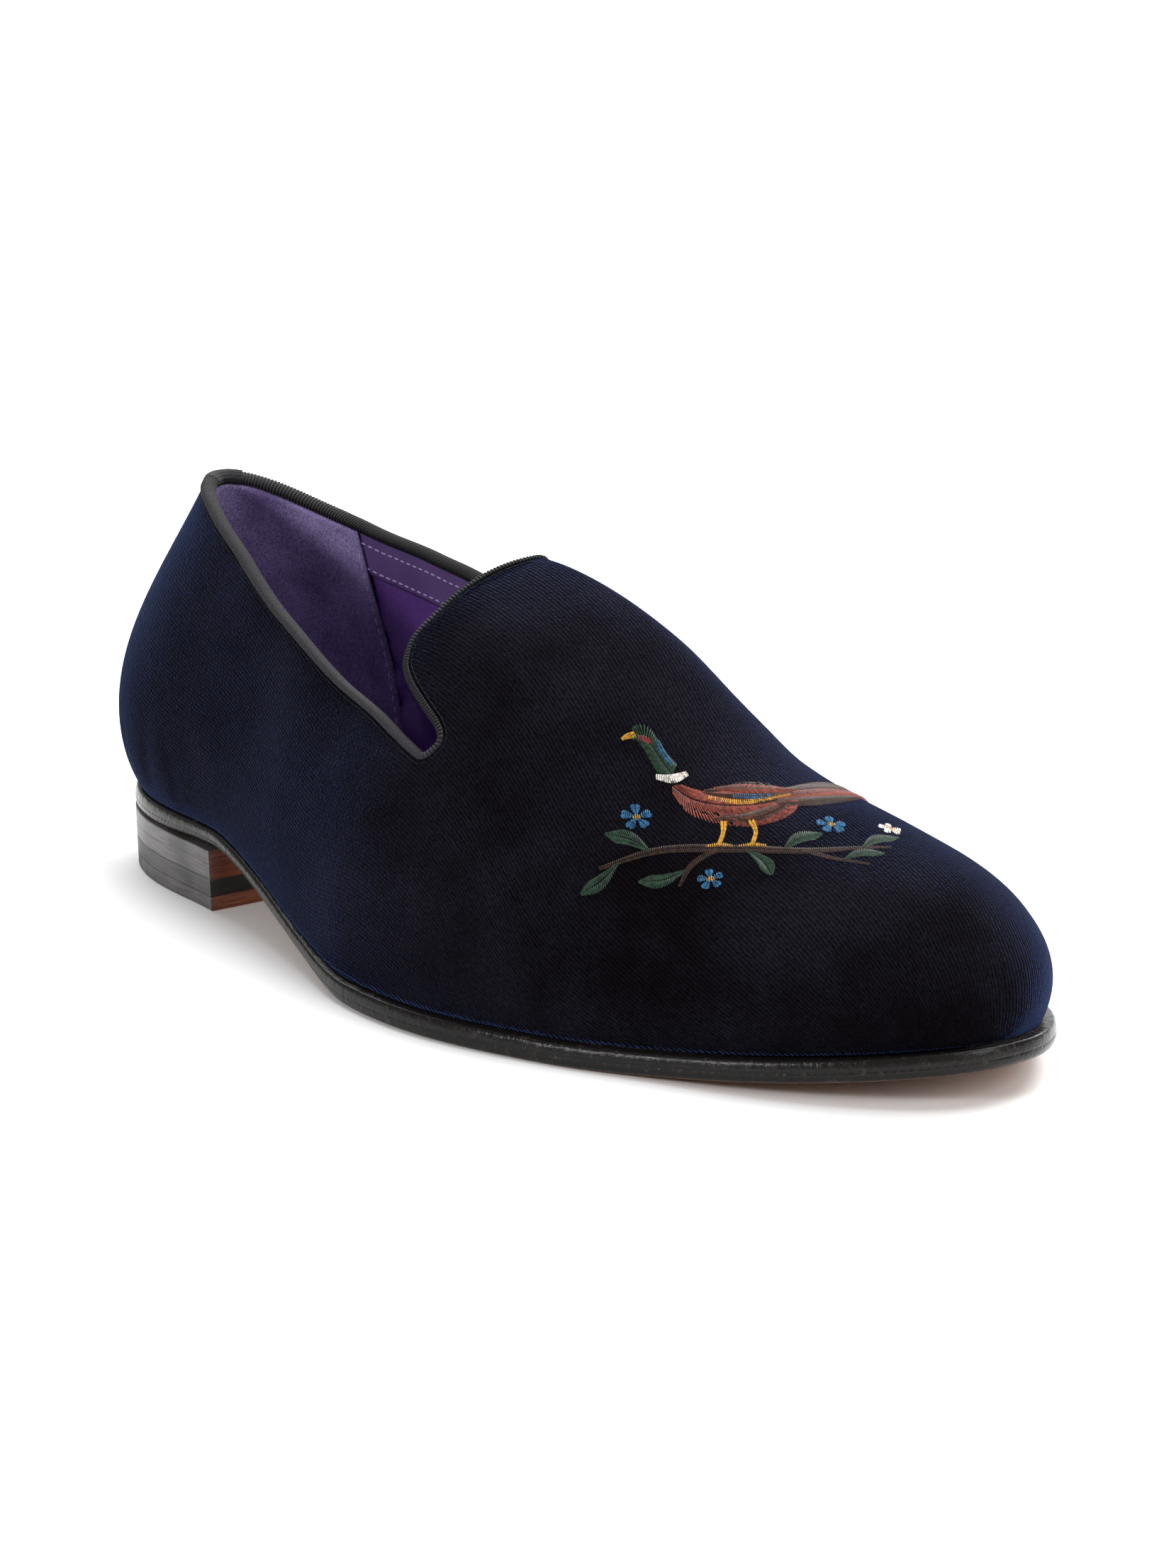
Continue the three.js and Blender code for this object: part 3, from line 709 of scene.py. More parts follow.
def throat_frame(spacing):
    """The closed loop of the throat's edge at equal steps: points, outward normals, the way up out of the
    edge, and the length so far. A running mean eases the ribbon round the notch's bottom."""
    halves = []
    for side in (-1, 1):
        s, t, _ = even_throat(side, spacing)
        halves.append((upper_point(s, t, side), upper_normal(s, t, side)))
    here = np.concatenate([halves[0][0], halves[1][0][::-1][1:-1]])
    normal = np.concatenate([halves[0][1], halves[1][1][::-1][1:-1]])
    normal += np.roll(normal, 1, 0) + np.roll(normal, -1, 0)
    reach = round(CORNER_EASE / spacing)
    here = sum(np.roll(here, k, 0) for k in range(-reach, reach + 1)) / (2 * reach + 1)
    normal /= np.linalg.norm(normal, axis=1, keepdims=True)
    along = np.roll(here, -1, 0) - np.roll(here, 1, 0)
    up = np.cross(normal, along)
    up /= np.linalg.norm(up, axis=1, keepdims=True)
    step = np.linalg.norm(np.diff(here, axis=0, append=here[:1]), axis=1)
    return here, normal, up, np.concatenate([[0], np.cumsum(step)[:-1]])


def ribbon_profile(extra):
    """The ribbon's outer face as distances out and up: down the outside, an ellipse over the edge and down
    the lining side; with the outward direction at each point."""
    outer, inner = RIBBON + extra, LINING_SIDE - extra
    turn = np.linspace(0, math.pi, 11)
    middle, half = (outer + inner) / 2, (outer - inner) / 2
    over = np.stack([middle + half * np.cos(turn), (0.8 + extra) * np.sin(turn)], 1)
    straight = np.linspace(-BINDING_DEPTH, -0.2, 4)
    out = np.stack([np.full(4, outer), straight], 1)
    back = np.stack([np.full(4, inner), straight[::-1]], 1)
    shape = np.concatenate([out, over, back])
    face = np.concatenate([np.tile([1.0, 0.0], (4, 1)), np.stack([np.cos(turn), np.sin(turn)], 1),
                           np.tile([-1.0, 0.0], (4, 1))])
    return shape, face


def ribbon_grid(here, normal, up, shape, face, relief):
    """The profile carried along the edge, raised by the relief, and closed along its hidden side."""
    raised = shape[None] + face[None] * relief[..., None]
    rows = here[:, None] + normal[:, None] * raised[..., :1] + up[:, None] * raised[..., 1:]
    ends = [here + normal * (shape[k, 0] - face[k, 0] * RIBBON)[..., None] + up * shape[k, 1] for k in (-1, 0)]
    hidden = [here + normal * level + up * 0.2 for level in (LINING_SIDE + RIBBON, 0.02)]
    closing = np.stack([ends[0], hidden[0], hidden[1], ends[1]], 1)
    return np.concatenate([rows, closing, rows[:, :1]], 1)


def grosgrain():
    """Grosgrain: thick weft cords under a fine warp. The ribs are in the mesh; the fine warp shows as grain,
    and shade is painted into the grooves between the ribs, so they are a little darker."""
    material, tree = new_material("charcoal_grosgrain")
    cloth = add_node(tree, "ShaderNodeUVMap", {}, uv_map="cloth").outputs[0]
    # Painted shade: the colour darkens in the grooves between the ribs, mixed with the warp's grain.
    groove = add_node(tree, "ShaderNodeTexWave", {
        "Vector": cloth, "Scale": 2 * math.pi / (20 * RIB_PITCH * MM), "Phase Offset": -math.pi / 2},
        wave_type="BANDS", bands_direction="X")
    place = add_node(tree, "ShaderNodeTexCoord", {}).outputs["Object"]
    warp = add_node(tree, "ShaderNodeTexNoise", {"Vector": place, "Scale": 2400, "Detail": 2})
    blend = add_node(tree, "ShaderNodeMath", {0: groove.outputs[1], 1: warp.outputs[0]}, operation="MULTIPLY")
    tint = add_node(tree, "ShaderNodeMix", {0: blend.outputs[0], 6: colour("#020203"), 7: colour("#454346")},
                    data_type="RGBA")
    bump = add_node(tree, "ShaderNodeBump", {"Height": warp.outputs[0], "Strength": 0.3, "Distance": 0.0001})
    skin = add_node(tree, "ShaderNodeBsdfPrincipled", {
        "Base Color": tint.outputs[2], "Roughness": 0.7, "Specular IOR Level": 0.16, "Normal": bump.outputs[0],
        "Sheen Weight": 0.06, "Sheen Roughness": 0.4})
    finish_material(tree, skin)
    return material


def make_binding():
    ribbon = grosgrain()
    here, normal, up, length = throat_frame(RIB_PITCH / RIB_STEPS)
    shape, face = ribbon_profile(0)
    rib = RIB_HEIGHT * (0.5 - 0.5 * np.cos(2 * math.pi * length / RIB_PITCH))
    rows = ribbon_grid(here, normal, up, shape, face, rib[:, None] + np.zeros(len(shape)))
    rows = np.concatenate([rows, rows[:1]])
    marks = np.stack([np.append(length, length[-1] + RIB_PITCH / RIB_STEPS)[:, None] + np.zeros(rows.shape[1]),
                      np.arange(rows.shape[1]) + np.zeros((len(rows), 1))], -1)
    make_piece("collar_ribbon", [(rows, marks, False)], ribbon, "grosgrain", "collar_binding")
    reach = round(JOIN_LENGTH / 2 / (RIB_PITCH / RIB_STEPS))
    near = np.arange(-reach, reach + 1)
    shape, face = ribbon_profile(RIBBON * 0.7)
    arc = np.concatenate([[0], np.cumsum(np.linalg.norm(np.diff(shape, axis=0), axis=1))])
    fine = np.linspace(0, arc[-1], 90)
    shape = np.stack([np.interp(fine, arc, shape[:, k]) for k in (0, 1)], 1)
    face = np.stack([np.interp(fine, arc, face[:, k]) for k in (0, 1)], 1)
    rib = RIB_HEIGHT * (0.5 - 0.5 * np.cos(2 * math.pi * fine / RIB_PITCH))
    ends = np.minimum(1, (reach - np.abs(near)) / 2)[:, None]
    rows = ribbon_grid(here[near], normal[near], up[near], shape, face, rib * ends - RIBBON * 0.6 * (1 - ends))
    marks = np.stack([np.concatenate([fine, np.full(5, fine[-1])]) + np.zeros((len(rows), 1)),
                      near[:, None] + np.zeros(rows.shape[1])], -1)
    make_piece("ribbon_join", [(rows, marks, False)], ribbon, "grosgrain")
    thread = cotton_thread("navy_cotton", "#07080d")
    for side, name in ((-1, "outer"), (1, "inner")):
        s, t, _ = even_throat(side, 1.5)
        lower_s, lower_t = below_edge(s, t, side, np.array([BINDING_DEPTH + 0.9]))
        kept = (s > 0.02) & (lower_t[:, 0] < 0.985)
        stitch_line("binding_stitches_" + name, lower_s[kept, 0], lower_t[kept, 0], side, 0.06, thread,
                    STITCH_LENGTH, "velvet")


make_binding()

# The embroidery on the vamp: a game bird standing on a flowering twig, worked by machine in twisted rayon
# thread through the velvet. Each part is filled with short stitches that slant away from its middle line.
PICTURE_MIDDLE = np.array([187.3, 8.1, 55.2])
PICTURE_RIGHT = np.array([0.45, 0.89, -0.08])
PICTURE_UP = np.array([-0.69, 0.56, 0.45])
FLOSS_PITCH = 0.46
FLOSS_WIDTH = 0.38
FLOSS_LENGTH = 3.0
FLOSS_HEIGHT = 0.3
DYES = {
    "copper": "#6d3022", "umber": "#2c1a0f", "green": "#183020", "blue": "#225479",
    "gold": "#b98a2c", "cream": "#cfc9c2", "crimson": "#8a2020",
}
# The parts of the picture: thread, layer, slant and the middle line as x, y and half width in millimetres.
PICTURE = [
    ["umber", 0, 0.5, [(-31, -17, 0.5), (-18, -14.5, 1.1), (-2, -16.5, 1.3), (14, -19, 1.1), (31, -17.5, 0.4)]],
    ["umber", 0, 0.5, [(-6, -16, 0.8), (-12, -20, 0.7), (-15, -25, 0.3)]],
    ["umber", 0, 0.5, [(12, -18.7, 0.8), (18, -22.5, 0.6), (25, -25, 0.3)]],
    ["green", 0, 0.9, [(-20, -14.5, 0.3), (-24, -10.5, 2.1), (-29, -8.5, 0.3)]],
    ["green", 0, 0.9, [(-27, -16.4, 0.3), (-31, -20, 1.9), (-35, -22, 0.3)]],
    ["green", 0, 0.9, [(-13, -21, 0.3), (-18, -22.5, 1.9), (-23, -22, 0.3)]],
    ["green", 0, 0.9, [(8, -18, 0.3), (12, -14.2, 2.1), (17, -12.5, 0.3)]],
    ["green", 0, 0.9, [(20, -23, 0.3), (24, -20.5, 1.7), (29, -20.5, 0.3)]],
    ["green", 0, 0.9, [(25, -18, 0.3), (29, -14, 1.9), (34, -12, 0.3)]],
    ["green", 0, 0.9, [(0, -17, 0.3), (3, -21.5, 1.8), (4, -26, 0.3)]],
    ["umber", 0, 1.3, [(10, 3, 1.6), (21, 9.5, 2.6), (31, 18, 1.7), (37, 25, 0.3)]],
    ["copper", 1, 1.3, [(9, 1.5, 1.5), (20, 6, 2.2), (30, 13, 1.5), (36, 19, 0.3)]],
    ["umber", 1, 1.2, [(9, -0.5, 1.6), (18, 1.8, 2.0), (27, 7, 1.1), (31, 11, 0.3)]],
    ["copper", 0, 0.8, [(-13, 4, 2.0), (-9, 0.5, 5.4), (-2, -1.6, 7.2), (6, -0.8, 5.6), (13, 2.2, 1.8)]],
    ["umber", 1, 0.9, [(-5, -6.4, 0.5), (2, -6.3, 1.9), (8, -3.4, 1.6), (12, 0.4, 0.5)]],
    ["umber", 1, 1.0, [(-6.5, 2.6, 0.8), (-1, 2.6, 3.8), (7, 3.4, 3.2), (14, 4.6, 0.5)]],
    ["copper", 2, 1.1, [(-4, 3.6, 0.5), (2, 4.1, 1.9), (9, 4.6, 1.3), (15, 5.6, 0.3)]],
    ["gold", 2, 0.4, [(-5.5, 0.7, 0.5), (1, -0.7, 0.7), (8, 0.8, 0.6), (13, 3.2, 0.3)]],
    ["blue", 2, 0.6, [(0, 1.3, 0.6), (4, 1.3, 1.0), (9, 2.4, 0.5)]],
    ["green", 1, 0.7, [(-12.8, 7.4, 2.9), (-15, 11.2, 2.5), (-16.6, 14.4, 2.5), (-18.4, 16.8, 2.5), (-20.6, 17.2, 0.8)]],
    ["blue", 2, 0.7, [(-12.4, 9.8, 0.6), (-14.2, 12.6, 0.8), (-15.2, 15.8, 0.5)]],
    ["cream", 2, 0.1, [(-16.4, 6.2, 0.7), (-13, 6.0, 1.2), (-9.4, 7.8, 0.6)]],
    ["crimson", 2, 0.3, [(-19.6, 16.0, 0.5), (-18.2, 15.8, 1.0), (-17.0, 15.0, 0.4)]],
    ["gold", 2, 0.3, [(-20.4, 16.6, 0.8), (-22.2, 15.9, 0.6), (-23.6, 14.9, 0.3)]],
    ["gold", 1, 0.2, [(-3.4, -7.6, 0.8), (-4, -11, 0.5), (-5.4, -14.8, 0.5)]],
    ["gold", 1, 0.2, [(2.6, -7.4, 0.8), (3, -11, 0.5), (1.6, -15.6, 0.5)]],
    ["gold", 1, 0.2, [(-8.2, -14.9, 0.3), (-5.2, -14.8, 0.5), (-2.6, -15.6, 0.3)]],
    ["gold", 1, 0.2, [(-1.2, -15.8, 0.3), (1.8, -15.7, 0.5), (4.6, -16.4, 0.3)]],
]
# The blossoms: where their middles stand and how long a petal is.
BLOSSOMS = [(-22, -4.6, 3.4), (20, -8.6, 3.2), (-8.5, -24.6, 2.7), (33.5, -7.4, 2.5)]


def on_both_sides(made, s, q):
    """What made gives at a signed share from the crown line: -1 and 1 are the two feather lines."""
    t = 1 - np.abs(q)
    return np.where((q < 0)[..., None], made(s, t, -1), made(s, t, 1))


def laid_on_vamp(flat):
    """Lays flat picture coordinates on the vamp along the picture's own normal: Newton steps on the share
    along the foot and the signed share from the crown bring the surface under each of them."""
    s = np.full(flat.shape[:-1], 0.744)
    q = np.full(flat.shape[:-1], -0.167)
    axes = np.stack([PICTURE_RIGHT, PICTURE_UP], -1)
    step = 1e-3

    def seen(s, q):
        return (on_both_sides(upper_point, s, q) - PICTURE_MIDDLE) @ axes

    for _ in range(8):
        here = seen(s, q)
        by_s = (seen(s + step, q) - here) / step
        by_q = (seen(s, q + step) - here) / step
        miss = flat - here
        area = by_s[..., 0] * by_q[..., 1] - by_s[..., 1] * by_q[..., 0]
        s = np.clip(s + (miss[..., 0] * by_q[..., 1] - miss[..., 1] * by_q[..., 0]) / area, 0.5, 0.95)
        q = np.clip(q + (by_s[..., 0] * miss[..., 1] - by_s[..., 1] * miss[..., 0]) / area, -0.9, 0.9)
    point = on_both_sides(upper_point, s, q)
    normal = on_both_sides(upper_normal, s, q)
    cloth = on_both_sides(cloth_of, s, q)
    return point - normal * creases(cloth)[..., None], normal


def filling(spine, slant, chance):
    """The start and end of each stitch: lanes on both sides of a middle line, their joints a little uneven."""
    spine = np.array(spine, float)
    run = np.concatenate([[0], np.cumsum(np.linalg.norm(np.diff(spine[:, :2], axis=0), axis=1))])
    along = np.arange(0, run[-1], FLOSS_PITCH)
    x, y, half = (curve(run, spine[:, k], along) for k in range(3))
    path = np.stack([x, y], -1)
    ahead = np.gradient(path, axis=0)
    ahead /= np.linalg.norm(ahead, axis=1, keepdims=True)
    across = np.stack([-ahead[:, 1], ahead[:, 0]], -1)
    starts, ends = [], []
    for side in (-1, 1):
        for lane in range(math.ceil(half.max() / FLOSS_LENGTH)):
            near = lane * FLOSS_LENGTH + chance.uniform(-0.7, 0.7, len(along)) * (lane > 0)
            far = np.minimum(half, near + FLOSS_LENGTH + chance.uniform(0, 0.8, len(along)))
            kept = far > near + 0.15
            way = across * side + ahead * slant
            starts.append((path + way * near[:, None])[kept])
            ends.append((path + way * far[:, None])[kept])
    return np.concatenate(starts), np.concatenate(ends)


def raised_stitches(start, end, layer):
    """One arched strip per stitch: its middle stands FLOSS_HEIGHT above the velvet and its rim sinks into it."""
    way = end - start
    across = np.stack([-way[:, 1], way[:, 0]], -1)
    across /= np.linalg.norm(across, axis=1, keepdims=True)
    share = np.array([0, 0.18, 0.5, 0.82, 1])
    arch = np.array([0, 0.85, 1, 0.85, 0])[:, None] * np.array([0.1, 1, 0.1])
    width = np.array([-0.5, 0, 0.5]) * FLOSS_WIDTH
    flat = (start[:, None, None] + way[:, None, None] * share[:, None, None]
            + across[:, None, None] * width[:, None])
    point, normal = laid_on_vamp(flat)
    level = arch * (FLOSS_HEIGHT + 0.16 + 0.14 * layer) - 0.1
    marks = np.zeros(flat.shape)
    marks[..., 0] = start.sum(-1)[:, None, None] * 9 + width
    marks[..., 1] = np.linalg.norm(way, axis=1)[:, None, None] * share[:, None]
    return [(grid, mark, False) for grid, mark in zip(point + normal * level[..., None], marks)]


def rayon_thread(name, code):
    """Twisted rayon embroidery thread: dyed, with a silky gleam and small uneven lights along each stitch."""
    material, tree = new_material(name)
    strand = add_node(tree, "ShaderNodeUVMap", {}, uv_map="cloth").outputs[0]
    uneven = add_node(tree, "ShaderNodeTexNoise", {"Vector": strand, "Scale": 700, "Detail": 2})
    share = add_node(tree, "ShaderNodeMapRange", {0: uneven.outputs[0], 1: 0.3, 2: 0.7, 3: 0.2, 4: 2.0})
    dyed = add_node(tree, "ShaderNodeMix", {0: 1.0, 6: colour(code), 7: share.outputs[0]},
                    data_type="RGBA", blend_type="MULTIPLY")
    skin = add_node(tree, "ShaderNodeBsdfPrincipled", {
        "Base Color": dyed.outputs[2], "Roughness": 0.45, "Specular IOR Level": 0.25})
    finish_material(tree, skin)
    return material


def make_embroidery():
    """Fills every part, with five petals and a gold eye for each blossom, and makes one piece per thread."""
    chance = np.random.default_rng(7)
    parts = list(PICTURE)
    for x, y, petal in BLOSSOMS:
        for turn in np.radians(np.arange(5) * 72 + 18):
            tips = [(x + math.cos(turn) * petal * far, y + math.sin(turn) * petal * far, petal * half)
                    for far, half in ((0.2, 0.12), (0.65, 0.34), (1, 0.1))]
            parts.append(["blue" if petal > 2.6 else "cream", 1, 0.6, tips])
        parts.append(["gold", 2, 0.2, [(x - 0.7, y, 0.3), (x, y, 0.8), (x + 0.7, y, 0.3)]])
    grids = {dye: [] for dye in DYES}
    for dye, layer, slant, spine in parts:
        grids[dye] += raised_stitches(*filling(spine, slant, chance), layer)
    for dye, code in DYES.items():
        make_piece("embroidery_" + dye, grids[dye], rayon_thread(dye + "_rayon_thread", code), "velvet")


make_embroidery()

# The sole: one thickness of oak-bark tanned leather, cut to the foot with a narrow ledge, its edge rounded,
# stained black and waxed to a shine. The waist is bevelled, and the tread stays tan.
WAIST_BEVEL = 2.4
BEVEL_START = 0.1
BEVEL_END = 0.38
BEVEL_EASE = 0.15
WHEEL_PITCH = 1.9
WHEEL_DEPTH = 0.3
WHEEL_HEIGHT = 0.5
# The edge from the lower to the upper face: a share of the thickness, how far it is drawn in, and its share
# of the waist's bevel.
SOLE_EDGE = {
    "share": [0.00, 0.05, 0.13, 0.24, 0.38, 0.46, 0.50, 0.54, 0.62, 0.74, 0.86, 0.95, 1.00],
    "draw": [1.60, 0.95, 0.50, 0.20, 0.05, 0.01, 0.00, 0.01, 0.05, 0.14, 0.30, 0.52, 0.85],
    "bevel": [1.00, 0.85, 0.68, 0.48, 0.28, 0.20, 0.16, 0.12, 0.06, 0.00, 0.00, 0.00, 0.00],
}


def bevel(s):
    return smooth((s - BEVEL_START) / BEVEL_EASE) * (1 - smooth((s - BEVEL_END) / BEVEL_EASE))


def sole_stations(count):
    """Stations at nearly equal steps of the outline, closer at the round ends, with one at the breast."""
    s = 0.5 - 0.5 * np.cos(np.linspace(0, math.pi, count))
    even = np.linspace(0, 1, count)
    return np.unique(np.append(0.62 * s + 0.38 * even, [BREAST, TREAD_START, TREAD_END]))


def sole_rows():
    """The ring of the sole at each station, with a wheeled line of fine dents along the edge's upper half."""
    stations = sole_stations(560)
    x, y = outline(stations, -1, 0)
    run = np.concatenate([[0], np.cumsum(np.hypot(np.diff(x), np.diff(y)))])
    share = np.array(SOLE_EDGE["share"])
    rows = []
    for s, length in zip(stations, run):
        near = np.exp(-((share - WHEEL_HEIGHT) / 0.035) ** 2)
        dent = WHEEL_DEPTH * near * (0.6 + 0.4 * math.cos(2 * math.pi * length / WHEEL_PITCH))
        draw = np.array(SOLE_EDGE["draw"]) + WAIST_BEVEL * np.array(SOLE_EDGE["bevel"]) * bevel(s) + dent
        edge = np.stack([share, draw], 1)
        rows.append(plate([s], edge, lambda v: sole_top(v) - SOLE_THICKNESS, sole_top, 0, 16)[0])
    return np.stack(rows)


def sole_leather():
    """Oak-bark sole leather. The edge and the ledge are inked black and burnished with hot wax; the tread is
    left tan. A thin tan line shows where the ink ends at the lower edge."""
    material, tree = new_material("oak_bark_sole_leather")
    place = add_node(tree, "ShaderNodeTexCoord", {}).outputs["Object"]
    facing = add_node(tree, "ShaderNodeNewGeometry", {})
    lie = add_node(tree, "ShaderNodeSeparateXYZ", {0: facing.outputs["Normal"]})
    under = add_node(tree, "ShaderNodeMapRange", {0: lie.outputs[2], 1: -0.93, 2: -0.8, 3: 1.0, 4: 0.0})
    fibre = add_node(tree, "ShaderNodeTexNoise", {"Vector": place, "Scale": 420, "Detail": 4, "Roughness": 0.7})
    cloud = add_node(tree, "ShaderNodeTexNoise", {"Vector": place, "Scale": 40, "Detail": 3})
    tan = add_node(tree, "ShaderNodeMix", {0: cloud.outputs[0], 6: colour("#6d4630"), 7: colour("#94663f")},
                   data_type="RGBA")
    worn = add_node(tree, "ShaderNodeMapRange", {0: fibre.outputs[0], 1: 0.58, 2: 0.75})
    ink = add_node(tree, "ShaderNodeMix", {0: worn.outputs[0], 6: colour("#141211"), 7: colour("#3a3431")},
                   data_type="RGBA")
    tint = add_node(tree, "ShaderNodeMix", {0: under.outputs[0], 6: ink.outputs[2], 7: tan.outputs[2]},
                    data_type="RGBA")
    rough = add_node(tree, "ShaderNodeMapRange", {0: under.outputs[0], 3: 0.1, 4: 0.6})
    patchy = add_node(tree, "ShaderNodeMath", {0: fibre.outputs[0], 1: 0.25}, operation="MULTIPLY")
    gloss = add_node(tree, "ShaderNodeMath", {0: rough.outputs[0], 1: patchy.outputs[0]}, operation="ADD")
    bump = add_node(tree, "ShaderNodeBump", {"Height": fibre.outputs[0], "Strength": 0.5, "Distance": 0.0005})
    skin = add_node(tree, "ShaderNodeBsdfPrincipled", {
        "Base Color": tint.outputs[2], "Roughness": gloss.outputs[0], "Specular IOR Level": 0.2,
        "Normal": bump.outputs[0]})
    finish_material(tree, skin)
    return material


def make_sole():
    rows = sole_rows()
    return make_piece("leather_sole", [(rows, rows[..., :2], False)], sole_leather(), "sole_leather", "outsole")


make_sole()

# The heel: three lifts of leather and a dark rubber lift pasted and nailed into a stack, trimmed together,
# inked and burnished, with a top piece of leather that has a rubber quarter at the back.
TOP_PIECE = 3.6
RUBBER_LIFT = 4.4
LEATHER_LIFT_COUNT = 2
QUARTER_TIP = 20
HEEL_TAPER = 0.5
LIFT_GROOVE = 0.12
HEEL_EASE = 0.25


def heel_layer(low, high, start, end, grooves):
    """A closed block between two heights and two stations: a ring at each station, with fine grooves where
    its lifts meet, eased edges, and the breast's two corners rounded."""
    steps = 14 * grooves
    share = np.linspace(0, 1, steps + 1)
    level = low + (high - low) * share
    groove = LIFT_GROOVE * np.exp(-((share * grooves - np.round(share * grooves)) * (high - low) / grooves / 0.14) ** 2)
    draw = HEEL_TAPER * (1 - level / HEEL_HEIGHT) + groove
    edge = np.stack([share, draw], 1)
    if start == 0:
        stations = start + (end - start) * (1 - np.cos(np.linspace(0, math.pi / 2, 60)))
    else:
        stations = np.linspace(start, end, 24)
    rows = plate(stations, edge, lambda v: low, lambda v: high, 0, 8)
    caps = []
    for index in (0, -1):
        row = rows[index]
        middle = row[:-1].mean(0)
        inner = middle + (row - middle) * np.linspace(0, 1, 9)[:, None, None]
        caps.append(inner)
    return rows, caps


def burnished(name, side_dark, side_light, front_dark, front_light, gloss):
    """Stacked leather: the trimmed sides are inked and rubbed with wax over the cut fibres, which show as
    fine level streaks; the breast is only stained brown."""
    material, tree = new_material(name)
    place = add_node(tree, "ShaderNodeTexCoord", {}).outputs["Object"]
    facing = add_node(tree, "ShaderNodeNewGeometry", {})
    lie = add_node(tree, "ShaderNodeSeparateXYZ", {0: facing.outputs["Normal"]})
    front = add_node(tree, "ShaderNodeMapRange", {0: lie.outputs[0], 1: 0.75, 2: 0.9})
    below = add_node(tree, "ShaderNodeMapRange", {0: lie.outputs[2], 1: -0.9, 2: -0.7, 3: 1.0, 4: 0.0})
    bare = add_node(tree, "ShaderNodeMath", {0: front.outputs[0], 1: below.outputs[0]}, operation="MAXIMUM")
    level = add_node(tree, "ShaderNodeMapping", {"Vector": place, "Scale": (110, 110, 2300)})
    streak = add_node(tree, "ShaderNodeTexNoise", {"Vector": level.outputs[0], "Scale": 1, "Detail": 4})
    blot = add_node(tree, "ShaderNodeTexNoise", {"Vector": place, "Scale": 90, "Detail": 3})
    blend = add_node(tree, "ShaderNodeMath", {0: streak.outputs[0], 1: blot.outputs[0]}, operation="MULTIPLY")
    share = add_node(tree, "ShaderNodeMapRange", {0: blend.outputs[0], 1: 0.15, 2: 0.38})
    side = add_node(tree, "ShaderNodeMix", {0: share.outputs[0], 6: colour(side_dark), 7: colour(side_light)},
                    data_type="RGBA")
    brown = add_node(tree, "ShaderNodeMix", {0: share.outputs[0], 6: colour(front_dark), 7: colour(front_light)},
                     data_type="RGBA")
    tint = add_node(tree, "ShaderNodeMix", {0: bare.outputs[0], 6: side.outputs[2], 7: brown.outputs[2]},
                    data_type="RGBA")
    bump = add_node(tree, "ShaderNodeBump", {"Height": streak.outputs[0], "Strength": 0.25, "Distance": 0.0002})
    skin = add_node(tree, "ShaderNodeBsdfPrincipled", {
        "Base Color": tint.outputs[2], "Roughness": gloss, "Specular IOR Level": 0.5, "Normal": bump.outputs[0]})
    finish_material(tree, skin)
    return material


def make_heel_piece(name, low, high, start, end, grooves, material, slot, node):
    rows, caps = heel_layer(low, high, start, end, grooves)
    grids = [(rows, rows[..., :2], False)]
    if start > 0:
        grids.append((caps[0], caps[0][..., :2], True))
    grids.append((caps[1], caps[1][..., :2], False))
    piece = make_piece(name, grids, material, slot, node)
    ease = piece.modifiers.new("eased_edges", "BEVEL")
    ease.width = HEEL_EASE * MM
    ease.segments = 2
    ease.limit_method = "ANGLE"
    ease.angle_limit = math.radians(50)
    return piece


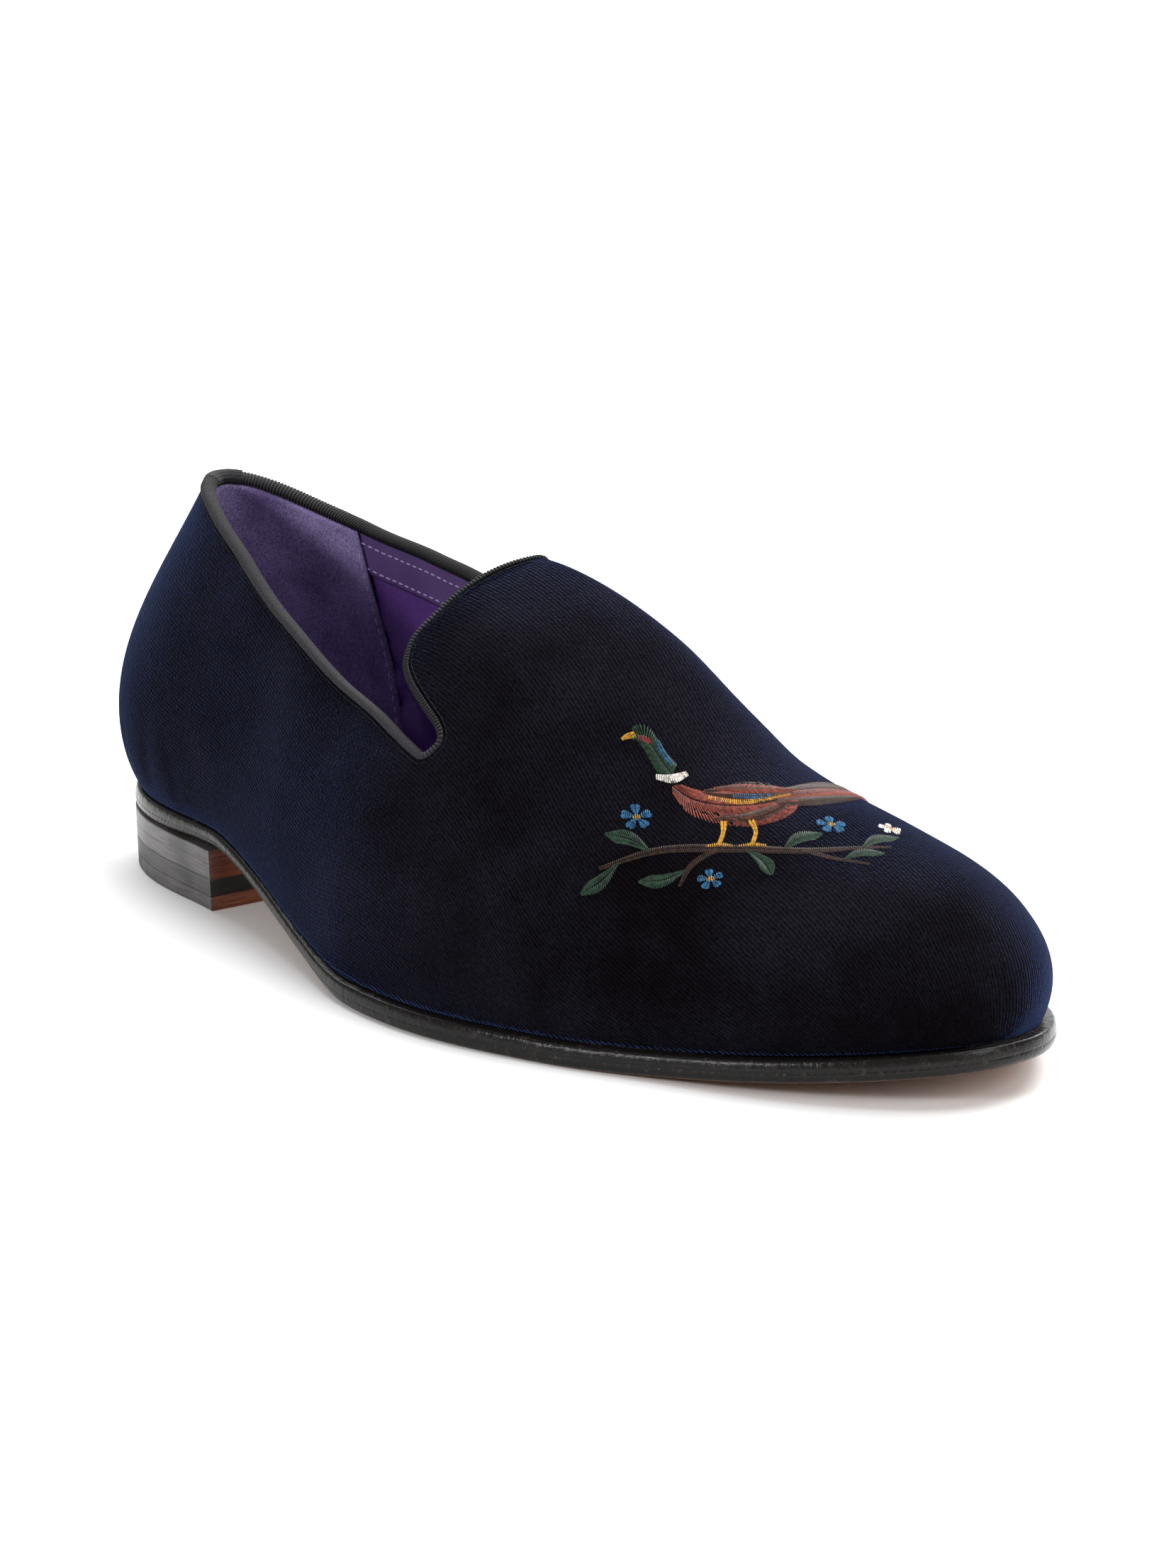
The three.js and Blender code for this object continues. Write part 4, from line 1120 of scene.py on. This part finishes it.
def make_heel():
    lift_leather = burnished("burnished_lift_leather", "#2c2a2b", "#5a5658", "#54291b", "#944f34", 0.38)
    sheet_rubber = burnished("vulcanised_rubber", "#262425", "#4c494a", "#120f0f", "#1f1a1a", 0.5)
    tip_leather = burnished("top_piece_leather", "#2c2a2b", "#565354", "#5e2f1e", "#a2613f", 0.45)
    tip_rubber = burnished("hard_tip_rubber", "#2a2829", "#454243", "#161414", "#242122", 0.55)
    tip = QUARTER_TIP / SOLE_LENGTH
    floor = TOP_PIECE + RUBBER_LIFT
    make_heel_piece("leather_lifts", floor, HEEL_HEIGHT, 0, BREAST, LEATHER_LIFT_COUNT, lift_leather,
                    "heel_leather", "heel_leather_lifts")
    make_heel_piece("rubber_lift", TOP_PIECE, floor, 0, BREAST, 1, sheet_rubber, "heel_rubber", "heel_rubber_lift")
    make_heel_piece("top_piece", 0, TOP_PIECE, tip, BREAST, 1, tip_leather, "top_piece", "top_piece_leather")
    make_heel_piece("quarter_tip", 0, TOP_PIECE, 0, tip, 1, tip_rubber, "tip_rubber", "top_piece_rubber")


make_heel()

# The set: a white table and a wide soft light over the toe and from behind, so that the pile's tips glow
# along the vamp while the near side stays dark, and a weak light from the front.
FLOOR_SIZE = 6.0


def make_floor():
    mesh = bpy.data.meshes.new("table_top")
    half = FLOOR_SIZE / 2
    mesh.from_pydata([(-half, -half, 0), (half, -half, 0), (half, half, 0), (-half, half, 0)], [], [(0, 1, 2, 3)])
    material, tree = new_material("white_card")
    card = add_node(tree, "ShaderNodeBsdfPrincipled", {"Base Color": colour("#f4f4f4"), "Roughness": 0.8})
    finish_material(tree, card)
    mesh.materials.append(material)
    floor = bpy.data.objects.new("table_top", mesh)
    bpy.context.scene.collection.objects.link(floor)


def soft_light(name, place, target, size, power):
    """A square panel at a place that looks at its target."""
    panel = bpy.data.lights.new(name, "AREA")
    panel.shape = "SQUARE"
    panel.size = size
    panel.energy = power
    lamp = bpy.data.objects.new(name, panel)
    lamp.location = place
    lamp.rotation_euler = (Vector(target) - Vector(place)).to_track_quat("-Z", "Y").to_euler()
    bpy.context.scene.collection.objects.link(lamp)


make_floor()
MIDDLE = (0.11, 0.0, 0.04)
soft_light("top_panel", (0.35, 0.45, 1.2), MIDDLE, 0.9, 14)
soft_light("far_panel", (-1.3, 1.0, 1.5), (-1.3, 1.0, 0), 2.2, 75)
soft_light("back_panel", (-0.1, 1.1, 0.75), MIDDLE, 0.8, 10)
soft_light("toe_panel", (1.2, 0.1, 0.6), MIDDLE, 0.6, 6)
soft_light("front_panel", (0.14, -1.3, 0.62), MIDDLE, 0.26, 9)
world = bpy.data.worlds.new("white_room")
world.use_nodes = True
world.node_tree.nodes["Background"].inputs[0].default_value = (1, 1, 1, 1)
world.node_tree.nodes["Background"].inputs[1].default_value = 0.3
bpy.context.scene.world = world
bpy.context.scene.view_settings.view_transform = "Standard"
